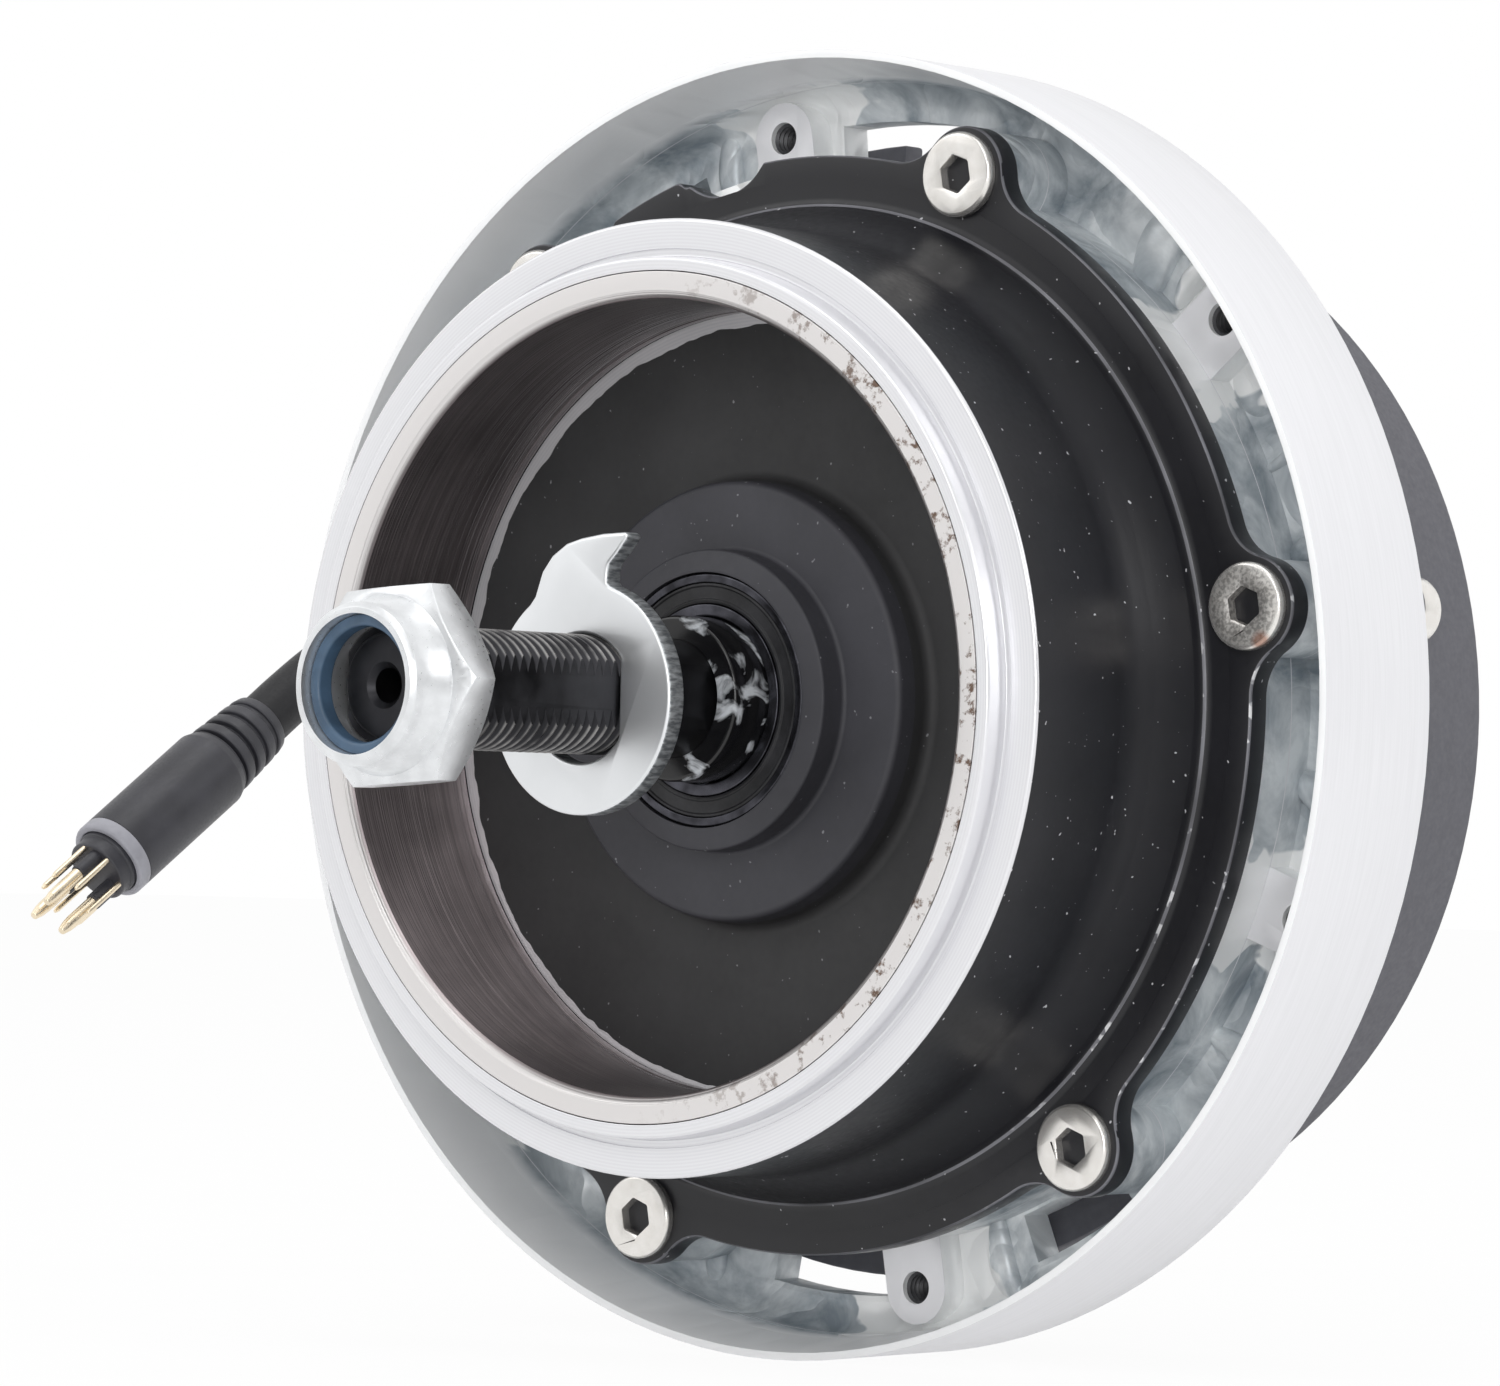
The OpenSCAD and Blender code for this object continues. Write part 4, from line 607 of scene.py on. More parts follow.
def all_finishes(c):
    """Every finish of the hub by its slot in the record."""
    around = (0.05, 1, 0.05)
    return {
        "cover_black": cover_paint(c), "liner_iron": liner_iron(c), "shell_aluminium": shell_metal(c),
        "black_steel": axle_oxide(c), "collar": collar_gloss(c), "stator_steel": stacked_steel(c),
        "nickel_steel": screw_nickel(c), "sheared": sheared_zinc(c),
        # Bright zinc on pressed steel: nearly white, cloudy, with fine scratches 0.3 mm wide
        "zinc_steel": grainy("bright_zinc_plate", c.zinc, darker(c.zinc, 0.84), 3, 0.32, 0.85, 0.35, 0.0008,
                             spread=0.05),
        # Nylon 66, moulded and dyed: satin, slightly cloudy
        "blue_nylon": grainy("blue_nylon", c.nylon, darker(c.nylon, 0.7), 3, 0.38, 0.0, 0.4, 0.01),
        # Through-hardened bearing steel, ground: mirror-like with rings round it
        "bearing_steel": grainy("ground_bearing_steel", linear("#b7b8bd"), linear("#9a9ba1"), 4, 0.2, 1.0, 0.3, 0.004,
                                stretch=around),
        # The front bearing's rings are oiled and see only the dark drum, so they are drawn darker
        "front_ring": grainy("oiled_bearing_ring", linear("#55555c"), linear("#2e2e32"), 2.5, 0.25, 0.9, 0.3, 0.006,
                             stretch=around),
        # Blued spring steel: dark grey with a satin sheen
        "spring_steel": grainy("blued_spring_steel", linear("#6f7074"), linear("#4c4d52"), 3, 0.34, 1.0, 0.3, 0.005),
        # Cast aluminium blasted with sand: an even, matt pale grey
        "cast_aluminium": grainy("sand_blasted_cast_aluminium", linear("#b4b7bb"), linear("#8b8e94"), 8, 0.5, 0.9, 0.7,
                                 0.03),
        # Enamelled copper wire of 0.7 mm, side by side round each tooth
        "copper": grainy("enamelled_copper_wire", linear("#c8793d"), linear("#7c3f1c"), 2, 0.3, 0.8, 0.7, 0.08,
                         stretch=(1, 0.1, 1), coat=0.4),
        # Solder mask over glass fibre: glossy green
        "board_green": grainy("green_solder_mask", linear("#2f6b45"), linear("#1d4a2e"), 4, 0.3, 0.0, 0.5, 0.01,
                              coat=0.3),
        # Polyurethane jacket: matt, with a very fine drag texture along it
        "cable_black": grainy("polyurethane_jacket", c.jacket, darker(c.jacket, 0.65), 7, 0.5, 0.0, 0.3, 0.012,
                              specular=0.35),
        # Nitrile rubber, moulded: deep black and dull
        "black_rubber": grainy("moulded_nitrile_rubber", linear("#2b2b2e"), linear("#18181a"), 4, 0.5, 0.0, 0.4, 0.02,
                               specular=0.4),
        # Thermoplastic elastomer over the contacts: satin charcoal
        "connector_black": grainy("moulded_elastomer", c.plug, darker(c.plug, 0.7), 5, 0.42, 0.0, 0.35, 0.008),
        # The same elastomer in light grey
        "connector_grey": grainy("grey_elastomer", c.plug_ring, darker(c.plug_ring, 0.8), 3, 0.45, 0.0, 0.35, 0.008),
        # Gold over brass: pale yellow and bright
        "contact_gold": grainy("gold_plated_brass", c.gold, darker(c.gold, 0.9), 1.5, 0.3, 1.0, 0.2, 0.0003),
        # Fine-textured grey powder coat, specks of 0.5 mm
        "casing_grey": grainy("fine_texture_grey_coat", c.casing, darker(c.casing, 0.9), 1.1, 0.6, 0.0, 0.5, 0.012,
                              specular=0.3),
        # Case-hardened steel, hobbed: grey and satin
        "gear_steel": grainy("case_hardened_steel", linear("#7d7e83"), linear("#5a5b60"), 5, 0.36, 1.0, 0.4, 0.006),
        # Nylon without dye, hobbed: cream and satin
        "planet_nylon": grainy("natural_nylon", linear("#d8d2bd"), linear("#c3bba2"), 6, 0.42, 0.0, 0.5, 0.01),
        # Bronze sintered from powder and soaked in oil: brown-yellow and grainy
        "bronze": grainy("sintered_bronze", linear("#a9824a"), linear("#7d5d31"), 1, 0.45, 0.9, 0.3, 0.02),
        # Turned mild steel: dark grey with rings round the axle's line
        "rotor_steel": grainy("turned_steel", linear("#5d5e63"), linear("#46474b"), 6, 0.35, 1.0, 0.4, 0.008,
                              stretch=around),
        # Nickel over sintered magnets: smooth dark silver
        "magnet": grainy("nickel_coated_magnet", linear("#6a6b70"), linear("#43444a"), 3, 0.28, 1.0, 0.4, 0.004),
    }


# Every finish by its slot: main fills it and settle reads it
FINISH = {}


class HUB_OT_stage(bpy.types.Operator):
    """Makes the camera, the pale floor, the white surroundings and the soft lamps."""
    bl_idname = "hub.stage"
    bl_label = "Stage"

    def execute(self, context):
        alone()
        bpy.ops.object.camera_add()
        camera = context.object
        camera.name = "photo_camera"
        camera.data.sensor_fit = "HORIZONTAL"
        camera.data.sensor_width = 36
        camera.data.lens = 161.28
        camera.data.clip_start, camera.data.clip_end = 0.01, 50
        camera.matrix_world = Matrix((
            (0.77285, 0.0, 0.63459, 438.2 * MM),
            (0.6343, -0.0303, -0.7725, -548.1 * MM),
            (0.01923, 0.99954, -0.02342, -15.24 * MM),
            (0, 0, 0, 1)))
        context.scene.camera = camera
        context.scene.view_settings.view_transform = "Standard"

        bpy.ops.mesh.primitive_plane_add(size=8, location=(0, 0, CAD_BOX[0].z))
        floor = context.object
        floor.name = "floor"
        bpy.ops.object.transform_apply()
        # Matt white paper: drawn white to the camera and to reflections, but it keeps a little of the shadow
        card = bpy.data.materials.new("matt_white_card")
        card.use_nodes = True
        tree = card.node_tree
        tree.nodes.clear()
        path = add(tree, "LightPath")
        seen = add(tree, "Math", (path["Is Camera Ray"], path["Is Glossy Ray"]), operation="MAXIMUM")[0]
        seen = add(tree, "Math", (seen, path["Is Transmission Ray"]), operation="MAXIMUM")[0]
        seen = add(tree, "Math", (seen, 0.95), operation="MULTIPLY")[0]
        where = add(tree, "TexCoord")["Object"]
        fibre = add(tree, "TexNoise", {"Vector": where, "Scale": 60.0})[0]
        tone = add(tree, "Mix", {0: fibre, 6: linear("#f4f4f4"), 7: linear("#ffffff")}, data_type="RGBA")[2]
        matt = add(tree, "BsdfDiffuse", (tone,))[0]
        glow = add(tree, "Emission", (linear("#ffffff"), 1.0))[0]
        both = add(tree, "MixShader", (seen, matt, glow))[0]
        add(tree, "OutputMaterial", {"Surface": both})
        floor.data.materials.append(card)

        world = bpy.data.worlds.new("white_room")
        world.use_nodes = True
        context.scene.world = world
        tree = world.node_tree
        tree.nodes.clear()
        path = add(tree, "LightPath")
        # Reflections see white behind and at the left, and the dim side of the room in front
        way = add(tree, "TexCoord")["Generated"]
        side = add(tree, "VectorMath", (way, (-0.72, 0.5, 0.42)), operation="DOT_PRODUCT")["Value"]
        level = add(tree, "MapRange", (side, -0.7, 0.3, 0.4, 1.0), interpolation_type="SMOOTHSTEP")[0]
        mirror, white, soft = [add(tree, "Background", (linear("#ffffff"), strength))[0]
                               for strength in (level, 1.0, 0.68)]
        look = add(tree, "Math", (path["Is Camera Ray"], path["Is Transmission Ray"]), operation="MAXIMUM")[0]
        room = add(tree, "MixShader", (path["Is Glossy Ray"], soft, mirror))[0]
        room = add(tree, "MixShader", (look, room, white))[0]
        add(tree, "OutputWorld", {"Surface": room})

        for name, at, size, power in (("left_box", (-0.75, -0.75, 0.75), 0.7, 1.4),
                                      ("top_box", (0.15, -0.1, 1.3), 0.8, 2.8),
                                      ("front_box", (0.85, -1.0, 0.25), 0.55, 3.9),
                                      ("high_box", (0.4, -0.95, 0.75), 0.5, 1.7),
                                      ("right_box", (1.0, 0.1, 0.45), 0.45, 1.7)):
            alone()
            bpy.ops.object.light_add(type="AREA", location=at)
            lamp = context.object
            lamp.name = name
            lamp.data.size = size
            lamp.data.energy = power
            lamp.rotation_mode = "QUATERNION"
            lamp.rotation_quaternion = (-Vector(at)).to_track_quat("-Z", "Y")
        return {"FINISHED"}


# The plug's front in mm and its two angles in degrees
PLUG_FRONT = (-128.5, 22, -18)
PLUG_TURN, PLUG_TILT = -93.6, 125.3
# How far behind its front the plug's neck ends, and where on the axle's line the boot ends, in mm
NECK_END = -29.5
BOOT_END = 96.0
# Points of the cable's middle line in mm
ROUTE = [[0, 102, 0], [-1, 110, 0], [-4, 118, 1], [-8, 125, 2], [-14, 131, 3], [-21, 136, 5], [-29, 139, 7],
         [-38, 141, 9], [-47, 142, 11], [-57, 141, 13], [-67, 139, 15], [-77, 135, 17], [-86, 130, 18], [-95, 123, 19],
         [-103, 115, 20], [-110, 106, 20], [-115, 97, 19], [-119, 88, 18], [-122, 79, 16], [-124, 71, 13.5],
         [-125.5, 63, 9.8], [-126.3, 56.5, 6.2], [-126.7, 51, 2.6]]


def plug_matrix():
    """From a plug turned about the Y axis, its front at the origin, to its place at the cable's end."""
    turn = Matrix.Rotation(math.radians(PLUG_TURN), 4, "Z") @ Matrix.Rotation(math.radians(PLUG_TILT), 4, "Y")
    return Matrix.Translation(Vector(PLUG_FRONT) * MM) @ turn @ Matrix.Rotation(math.pi / 2, 4, "X")


class HUB_OT_plug(bpy.types.Operator):
    """Models the connector at the cable's end: ribbed neck, body, grey ring, insert and contacts."""
    bl_idname = "hub.plug"
    bl_label = "Connector"

    def execute(self, context):
        neck = [(0.0, NECK_END, 0), (3.9, NECK_END, 0.3)]
        for k in range(4):
            y = -28.1 + 2.2 * k
            out = 4.1 + 0.07 * (y - NECK_END)
            neck += [(out, y, 0.25), (3.75, y + 0.05, 0.1), (3.75, y + 0.75, 0.1), (out + 0.05, y + 0.8, 0.25)]
        body = turned("plug_body", neck + [(4.6, -20.9, 0.6), (5.1, -19.5, 0.9), (5.1, -1.8, 0.12), (0.0, -1.8, 0)],
                      72, closed=False)
        ring = turned("plug_ring", [(5.1, -1.8, 0.1), (5.1, 0, 0.35), (4.22, 0, 0.2), (4.22, -1.8, 0)], 72)
        core = [turned("plug_insert", [(0.0, -1.8, 0), (4.18, -1.8, 0), (4.18, 0.4, 0.25), (3.95, 0.5, 0.1),
                                      (3.95, 2.2, 0.3), (0.0, 2.2, 0)], 60, closed=False)]
        contacts = []
        for k in range(3):
            at = Matrix.Translation(polar(2.4, -30 - 120 * k))
            sleeve = turned("sleeve", [(0.82, 2.15, 0), (1.0, 2.15, 0), (1.0, 5.6, 0.2), (0.82, 5.6, 0.05)], 24, arc=3)
            pin = turned("thick_contact", [(0.0, 2.2, 0), (0.8, 2.2, 0), (0.8, 9.4, 0.1), (0.72, 10.4, 0.3),
                                           (0.45, 11.55, 0.2), (0.0, 11.6, 0)], 24, closed=False, arc=3)
            place(sleeve, at)
            place(pin, at)
            core.append(sleeve)
            contacts.append(pin)
        for k in range(6):
            pin = turned("thin_contact", [(0.0, 2.1, 0), (0.35, 2.1, 0), (0.35, 7.6, 0.1), (0.2, 8.15, 0.1),
                                          (0.0, 8.2, 0)], 16, closed=False, arc=2)
            place(pin, Matrix.Translation(polar(3.4, -60 * k)))
            contacts.append(pin)
        insert = join("plug_insert", *core)
        pins = join("plug_contacts", *contacts)
        for ob, slot, node in ((body, "connector_black", "connector_body"),
                               (ring, "connector_grey", "connector_collar"),
                               (insert, "connector_black", "connector_insert"),
                               (pins, "contact_gold", "connector_pins")):
            place(ob, plug_matrix())
            settle(ob, "axle", slot, node)
        return {"FINISHED"}


class HUB_OT_cable(bpy.types.Operator):
    """Lays the motor cable from the axle's end to the connector, and models the boot that it leaves by."""
    bl_idname = "hub.cable"
    bl_label = "Cable and boot"

    def execute(self, context):
        s = context.scene.hub_sizes
        ribs = [(0.0, 75.9, 0), (5.45, 75.9, 0.3), (5.45, 79.0, 0.4)]
        for k in range(6):
            y, r = 80.4 + 2.4 * k, 5.0 - 0.13 * k
            ribs += [(r - 0.55, y - 0.7, 0.15), (r - 0.55, y, 0.15), (r, y + 0.15, 0.2), (r - 0.06, y + 1.5, 0.2)]
        ribs += [(4.05, 95.9, 0.4), (3.2, BOOT_END, 0), (0.0, BOOT_END, 0)]
        boot = turned("strain_relief", ribs, 72, closed=False)
        settle(boot, "axle", "black_rubber", "cable_boot")

        plug_back = plug_matrix() @ Vector((0, NECK_END * MM, 0))
        points = [Vector((0, BOOT_END * MM, 0))] + [Vector(p) * MM for p in ROUTE] + [plug_back]
        alone()
        bpy.ops.curve.primitive_bezier_curve_add()
        cable = context.object
        cable.name = "motor_cable_jacket"
        cable.data.splines.clear()
        line = cable.data.splines.new("BEZIER")
        line.bezier_points.add(len(points) - 1)
        for knot, p in zip(line.bezier_points, points):
            knot.co = p
            knot.handle_left_type = knot.handle_right_type = "AUTO"
        cable.data.resolution_u = 6
        cable.data.dimensions = "3D"
        cable.data.bevel_depth = s.cable / 2
        cable.data.bevel_resolution = 8
        cable.data.use_fill_caps = True
        settle(cable, "axle", "cable_black", "motor_cable")
        return {"FINISHED"}


def thread(name, front, back, pitch, crest, inner=5.1, root=5.3, outer=6.0, steps=48, flats=4.998):
    """A closed helical ridge about the axle's line, cut off flat at its ends and at the axle's flats. Without flats it
    keeps the blunt ends of its section."""
    # The ridge leaves this much of its pitch free at each side, and starts a turn early where it is cut off
    gap = 0.04
    start = front - pitch if flats else front
    ob = ring_of(name, [(r * MM, (start + y) * MM, 0) for r, y in (
        (inner, gap), (root, gap), (outer, pitch / 2 - crest / 2), (outer, pitch / 2 + crest / 2),
        (root, pitch - gap), (inner, pitch - gap))])
    sides = len(ob.data.vertices)
    turns = int((back - front) / pitch) + (3 if flats else -1)
    apply_modifier(ob, "SCREW", axis="Y", angle=2 * math.pi, screw_offset=pitch * MM, iterations=turns, steps=steps,
                   render_steps=steps, use_merge_vertices=True, merge_threshold=THREAD_WELD,
                   use_normal_calculate=True)
    if flats:
        for at, normal in (((0, front, 0), (0, -1, 0)), ((0, back, 0), (0, 1, 0)),
                           ((flats, 0, 0), (1, 0, 0)), ((-flats, 0, 0), (-1, 0, 0))):
            cut(ob, at, normal)
        return ob
    edit_all()
    bpy.ops.mesh.fill_holes(sides=sides)
    face_out()
    return ob


class HUB_OT_axle(bpy.types.Operator):
    """Models the axle: flatted ends with a rolled helical thread, centre hole, journal and cable bore."""
    bl_idname = "hub.axle"
    bl_label = "Axle"

    def execute(self, context):
        s = context.scene.hub_sizes
        pitch, crest = s.pitch / MM, s.crest / MM
        front = turned("axle_front", [(0.0, -62.0, 0), (1.7, -62.6, 0), (1.7, -69.6, 0), (2.3, -70.2, 0.1),
                                      (4.9, -70.2, 0.25), (5.26, -69.8, 0), (5.26, -40.4, 0), (6.0, -39.9, 0.1),
                                      (6.0, -24.2, 0), (0.0, -24.2, 0)], 96, closed=False)
        plain = turned("axle_middle", [(0.0, -24.2, 0), (6.0, -24.2, 0), (6.0, 15.2, 0), (8.5, 15.2, 0.3),
                                       (8.5, 46.0, 0.3), (3.7, 46.0, 0), (3.7, 24.0, 0), (0.0, 24.0, 0)], 96,
                       closed=False)
        rear = turned("axle_rear", [(3.7, 45.9, 0), (6.0, 45.9, 0), (6.0, 48.4, 0.1), (5.26, 48.9, 0),
                                    (5.26, 75.5, 0), (4.9, 76.0, 0.2), (3.7, 76.0, 0.2)], 96)
        front_thread = thread("front_thread", -69.9, -40.0, pitch, crest)
        rear_thread = thread("rear_thread", 48.6, 75.7, pitch, crest)
        for ob in (front, rear):
            cut(ob, (5, 0, 0), (1, 0, 0))
            cut(ob, (-5, 0, 0), (-1, 0, 0))
        settle(join("axle_bar", front, plain, rear, front_thread, rear_thread), "axle", "black_steel", "axle")
        collar = turned("greased_collar", [(6.05, -27.2, 0), (8.45, -27.2, 0.45), (8.45, -9.3, 0), (6.05, -9.3, 0)],
                        120)
        settle(collar, "axle", "black_steel", "axle_collar", "collar")
        return {"FINISHED"}


class HUB_OT_nuts(bpy.types.Operator):
    """Rounds the edges of the nuts and washers at both ends, and turns their nylon rings."""
    bl_idname = "hub.nuts"
    bl_label = "Nuts and washers"

    def execute(self, context):
        edge = context.scene.hub_sizes.steel_edge
        for node, width, look in (("tab_washer", edge * 1.2, "sheared"), ("lock_nut", edge, "zinc_steel"),
                                  ("rear_washer", edge, "zinc_steel"), ("rear_lock_nut", edge, "zinc_steel")):
            ob = from_node(node, node + "_eased")
            ease(ob, width, 3)
            if look == "sheared":
                tag(ob, "side", lambda face: abs(face.normal.y) < 0.3)
            settle(ob, "axle", "zinc_steel", node, look, angle=40)
        for node, front in (("lock_nut_nylon_ring", -73.5), ("rear_nut_nylon_ring", 55.4)):
            ob = turned(node + "_turned", [(5.6, front, 0.4), (6.76, front, 0.25), (6.76, front + 2.1, 0.25),
                                           (5.6, front + 2.1, 0.4)], 96)
            settle(ob, "axle", "blue_nylon", node)
        return {"FINISHED"}


class HUB_OT_bearing(bpy.types.Operator):
    """Turns the front bearing's rings and its rubber shield, and the rear shaft seal."""
    bl_idname = "hub.bearing"
    bl_label = "Front bearing and seals"

    def execute(self, context):
        inner = turned("front_inner_ring", [(8.5, -22.2, 0.25), (9.8, -22.2, 0.15), (9.8, -17.2, 0), (8.5, -17.2, 0)])
        outer = turned("front_outer_ring", [(12.0, -22.2, 0.15), (12.97, -22.2, 0.3), (12.97, -17.2, 0),
                                            (12.0, -17.2, 0)])
        shield = turned("front_shield", [(9.88, -22.0, 0.1), (10.25, -22.12, 0.12), (10.4, -21.9, 0.1),
                                         (11.55, -21.9, 0.1), (11.7, -22.08, 0.1), (11.96, -22.0, 0.1),
                                         (11.96, -21.3, 0), (9.88, -21.3, 0)])
        settle(inner, "axle", "bearing_steel", "front_bearing_inner_ring", "front_ring")
        settle(outer, "wheel", "bearing_steel", "front_bearing_outer_ring", "front_ring")
        settle(shield, "wheel", "black_rubber", "front_bearing_seal")
        low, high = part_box("rear_seal")
        out_r, y = high.x / MM, high.y / MM
        seal = turned("rear_shaft_seal", [(out_r, low.y / MM, 0), (out_r, y, 0.3), (out_r - 1.0, y, 0.2),
                                          (out_r - 1.3, y - 0.5, 0.2), (10.2, y - 0.5, 0.2), (9.6, y - 0.1, 0.3),
                                          (8.75, y - 0.4, 0.2), (9.2, y - 1.2, 0), (9.2, low.y / MM, 0)])
        settle(seal, "wheel", "black_rubber", "rear_seal")
        return {"FINISHED"}


def flange_radius(a):
    """The flange's radius in mm at an angle in degrees: lobes round the screws, a notch and a pad."""
    r = 57.0
    # The pad from 107 to 118.5 degrees stands 0.9 mm proud
    rise = max(0.0, min(1.0, (a - 107.0) / 1.2, (118.5 - a) / 1.2))
    r += 0.9 * rise * rise * (3 - 2 * rise)
    # Half the lobe's arc and half of what lobe and fillets take up; the lobe's radius; the fillet's centre and radius
    lobe, foot = math.radians(4.45), math.radians(8.93)
    lobe_r, fillet_at, fillet_r = 5.05, 62.5, 5.5
    for k in range(6):
        off = math.radians((a - SCREW_ANGLE - SIXTH * k + 180) % 360 - 180)
        if abs(off) < lobe:
            r = SCREW_R * math.cos(off) + math.sqrt(lobe_r ** 2 - (SCREW_R * math.sin(off)) ** 2)
        elif abs(off) < foot:
            away = foot - abs(off)
            r = max(r, fillet_at * math.cos(away) - math.sqrt(fillet_r ** 2 - (fillet_at * math.sin(away)) ** 2))
    notch, notch_at, notch_r = a - 101.5, 61.6, 7
    side = notch_at * math.sin(math.radians(notch))
    if abs(notch) < 20 and abs(side) < notch_r:
        r = min(r, notch_at * math.cos(math.radians(notch)) - math.sqrt(notch_r ** 2 - side ** 2))
    return r


class HUB_OT_cover(bpy.types.Operator):
    """Models the drum cover: turned drum, floor, disc and boss, and the lobed flange."""
    bl_idname = "hub.cover"
    bl_label = "Drum cover"

    def execute(self, context):
        drum = turned("drum_cover_cast", [
            (13.05, -22.4, 0), (13.25, -22.4, 0.1), (15.4, -21.75, 0.35), (15.4, -18.5, 0.5), (22.5, -18.5, 0.7),
            (22.9, -13.9, 1.2), (43.05, -13.9, 0), (43.05, -32.6, 0.1), (44.4, -32.6, 0.35), (44.62, -29.9, 0.15),
            (45.4, -29.9, 0), (45.4, -30.2, 0.1), (48.5, -30.2, 0.4), (48.5, -15.2, 9), (49.6, -12.2, 9),
            (50.6, -9.7, 5), (51.3, -8.0, 2), (51.7, -6.62, 1.2), (54.6, -6.62, 0), (54.6, -3.65, 0), (49.4, -3.65, 0),
            (46.0, -9.9, 0), (11.5, -9.9, 0), (11.5, -17.2, 0), (13.05, -17.2, 0)], arc=6)
        count = 1080
        outline = []
        for k in range(count):
            a = 360 * k / count
            outline.append(Vector((math.cos(math.radians(a)), 0, math.sin(math.radians(a)))) * flange_radius(a) * MM)
        # The flange is 3 mm thick and starts at y -6.6 mm, with its inner edge inside the drum's foot
        flange = ring_of("cover_flange", outline)
        bpy.ops.object.mode_set(mode="EDIT")
        bpy.ops.mesh.primitive_circle_add(vertices=count, radius=52 * MM, rotation=(math.pi / 2, 0, 0))
        bpy.ops.mesh.select_all(action="SELECT")
        bpy.ops.mesh.select_mode(type="EDGE")
        bpy.ops.mesh.bridge_edge_loops()
        bpy.ops.mesh.select_all(action="SELECT")
        bpy.ops.mesh.extrude_region_move(TRANSFORM_OT_translate={"value": (0, 3 * MM, 0)})
        face_out()
        place(flange, Matrix.Translation((0, -6.6 * MM, 0)))
        ease(flange, 0.35 * MM, 3, angle=50)
        tag(flange, "wear_and_highlight", lambda face: -0.93 < face.normal.y < -0.2)
        cover = join("drum_cover_cast", drum, flange)
        settle(cover, "wheel", "cover_black", "drum_cover", angle=28)
        return {"FINISHED"}


class HUB_OT_liner(bpy.types.Operator):
    """Turns the iron liner that the brake shoes rub on."""
    bl_idname = "hub.liner"
    bl_label = "Brake liner"

    def execute(self, context):
        liner = turned("brake_liner_bored", [
            (41.05, -32.6, 0.15), (42.95, -32.6, 0.1), (42.95, -13.95, 0), (40.25, -13.95, 0.3), (40.25, -15.1, 0.15),
            (40.33, -15.2, 0.1), (40.33, -30.6, 0.2), (40.25, -30.8, 0.2), (40.25, -31.8, 0.15)], 200)
        settle(liner, "wheel", "liner_iron", "brake_liner")
        return {"FINISHED"}


class HUB_OT_screws(bpy.types.Operator):
    """Rounds the heads of the cover screws and of the rear casing's screws."""
    bl_idname = "hub.screws"
    bl_label = "Screws"

    def execute(self, context):
        edge = context.scene.hub_sizes.screw_edge
        for node in ("cover_screws", "rear_casing_screws"):
            ob = from_node(node, node + "_eased")
            ease(ob, edge)
            settle(ob, "wheel", "nickel_steel", node, angle=35)
        return {"FINISHED"}


# Humps that the metal's flow left on the web: angle, radius, half length, half width and rise, in degrees and mm
HUMPS = ((51, 58.4, 6.2, 2.6, 1.9), (46, 60.5, 4.2, 1.2, 2.3), (25.5, 59.6, 5.6, 0.7, 0.7),
         (15.0, 59.4, 5.2, 2.0, 1.2), (4.5, 59.6, 5.2, 1.4, 1.0), (-7.5, 58.6, 4.0, 2.3, 1.5),
         (-36, 59.4, 5.2, 1.6, 1.1), (-47, 59.4, 5.0, 1.2, 1.0), (-71, 59.6, 5.2, 1.6, 1.3),
         (-108, 59.5, 5.3, 1.5, 1.2), (109, 59.5, 5.3, 1.6, 1.3), (138, 59.6, 5.2, 1.3, 1.0),
         (161, 59.5, 5.2, 1.7, 1.2), (190, 59.5, 5.2, 1.4, 1.0), (213, 59.5, 5.2, 1.8, 1.2), (238, 59.5, 5.2, 1.3, 1.0))


def hump(angle, radius, half_length, half_width, rise):
    """A low rounded rib across the web, a little bent and lopsided."""
    alone()
    bpy.ops.mesh.primitive_uv_sphere_add(segments=28, ring_count=16, radius=MM)
    ob = bpy.context.object
    bpy.ops.object.mode_set(mode="EDIT")
    bpy.ops.transform.resize(value=(half_length, rise, half_width))
    bpy.ops.object.mode_set(mode="OBJECT")
    cut(ob, (0, 0.25, 0), (0, 1, 0))
    for v in ob.data.vertices:
        share = v.co.x / (half_length * MM)
        v.co.z += 0.35 * half_width * MM * math.sin(2.2 * share + angle)
        v.co.z *= 1 + 0.25 * share
    # The web's front face is at y 5 mm
    place(ob, Matrix.Translation(polar(radius, angle, 5.05)) @ Matrix.Rotation(-math.radians(angle), 4, "Y"))
    return ob


class HUB_OT_shell(bpy.types.Operator):
    """Rounds the shell's cast edges, adds the web's fillet and humps, and taps the six wheel bosses M4."""
    bl_idname = "hub.shell"
    bl_label = "Hub shell"

    def execute(self, context):
        shell = from_node("hub_shell", "hub_shell_cast")
        ease(shell, context.scene.hub_sizes.cast_edge, 3)
        extras = [hump(*h) for h in HUMPS]
        # The wide fillet between the web and the band
        extras.append(turned("web_fillet", [(62.2, 4.99, 0), (65.05, 4.99, 3.4), (65.48, 1.3, 0), (66.3, 1.3, 0),
                                            (66.3, 5.6, 0), (62.2, 5.6, 0)], arc=9))
        for k in range(6):
            sleeve = thread("boss_thread", 1.95, 9.2, 0.7, 0.1, inner=1.85, root=1.72, outer=1.42, steps=24, flats=0)
            place(sleeve, Matrix.Translation(polar(BOSS_R, BOSS_ANGLE + SIXTH * k)))
            tag(sleeve, "bore", lambda face: True)
            extras.append(sleeve)
        join("hub_shell_cast", shell, *extras)
        settle(shell, "wheel", "shell_aluminium", "hub_shell", angle=35)
        return {"FINISHED"}


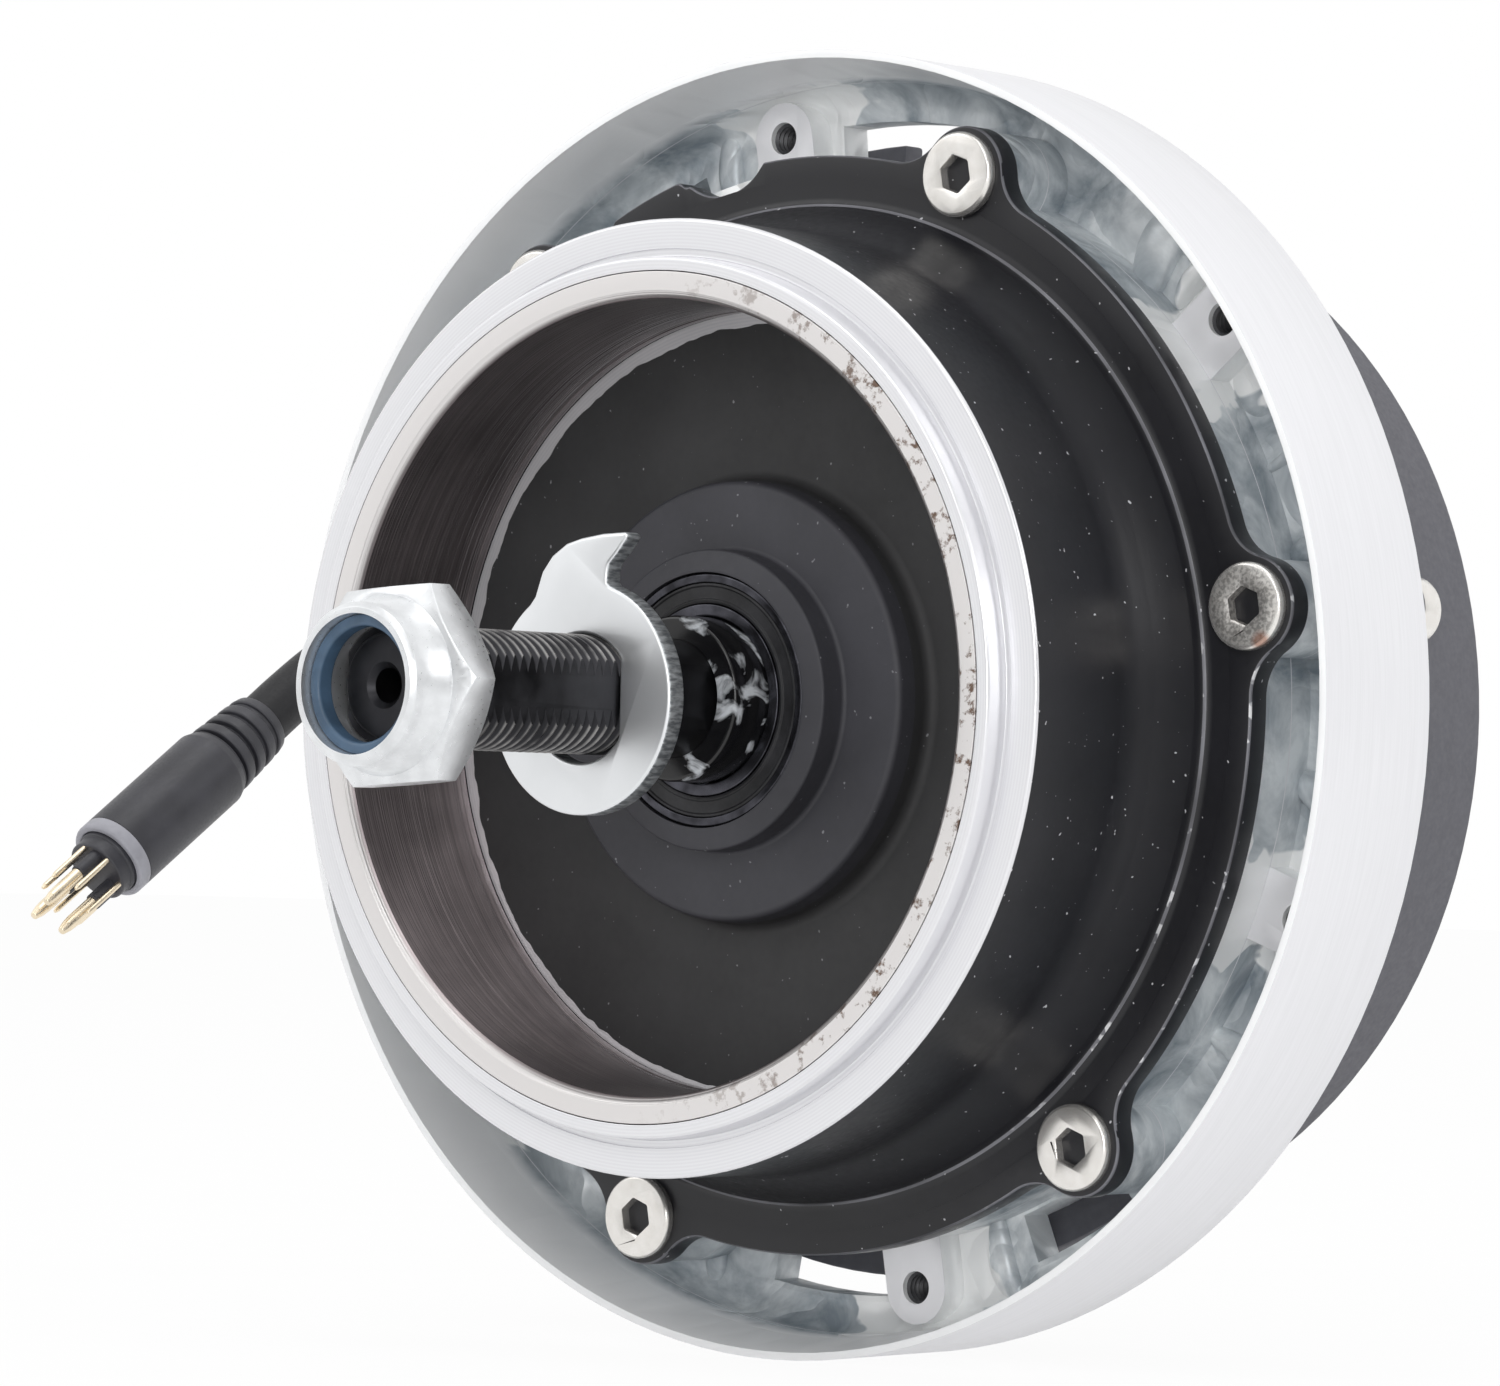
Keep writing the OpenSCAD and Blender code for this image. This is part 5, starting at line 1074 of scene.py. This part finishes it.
class HUB_OT_casing(bpy.types.Operator):
    """Rounds the rear casing's edges."""
    bl_idname = "hub.casing"
    bl_label = "Rear casing"

    def execute(self, context):
        casing = from_node("rear_casing", "rear_casing_cast")
        ease(casing, context.scene.hub_sizes.cast_edge * 0.7)
        settle(casing, "wheel", "casing_grey", "rear_casing", angle=35)
        return {"FINISHED"}


class HUB_OT_inside(bpy.types.Operator):
    """Gives every CAD node that stays its own finish."""
    bl_idname = "hub.inside"
    bl_label = "Inside parts"

    def execute(self, context):
        slots = {p["node"]: p["material_slot"] for p in frame["record"]["subparts"]}
        for node, ob in frame["nodes"].items():
            ob.data.materials.clear()
            ob.data.materials.append(FINISH[slots[node]])
        return {"FINISHED"}


class HUB_PT_panel(bpy.types.Panel):
    """Lists the steps in the order in which they are run."""
    bl_label = "Hub motor"
    bl_space_type = "VIEW_3D"
    bl_region_type = "UI"
    bl_category = "Hub motor"

    def draw(self, context):
        for step in STEPS:
            self.layout.operator(step.bl_idname)
        for group in (context.scene.hub_sizes, context.scene.hub_colours):
            for key in group.__annotations__:
                self.layout.prop(group, key)


STEPS = (HUB_OT_stage, HUB_OT_plug, HUB_OT_cable, HUB_OT_axle, HUB_OT_nuts, HUB_OT_bearing, HUB_OT_cover,
         HUB_OT_liner, HUB_OT_screws, HUB_OT_shell, HUB_OT_casing, HUB_OT_inside)
CLASSES = (HubSizes, HubColours, *STEPS, HUB_PT_panel)


def register():
    for c in CLASSES:
        bpy.utils.register_class(c)
    bpy.types.Scene.hub_sizes = bpy.props.PointerProperty(type=HubSizes)
    bpy.types.Scene.hub_colours = bpy.props.PointerProperty(type=HubColours)


def unregister():
    del bpy.types.Scene.hub_colours
    del bpy.types.Scene.hub_sizes
    for c in reversed(CLASSES):
        bpy.utils.unregister_class(c)


def main():
    register()
    FINISH.update(all_finishes(bpy.context.scene.hub_colours))
    for step in STEPS:
        getattr(bpy.ops.hub, step.bl_idname.split(".")[1])()
    alone()


if __name__ == "__main__":
    main()
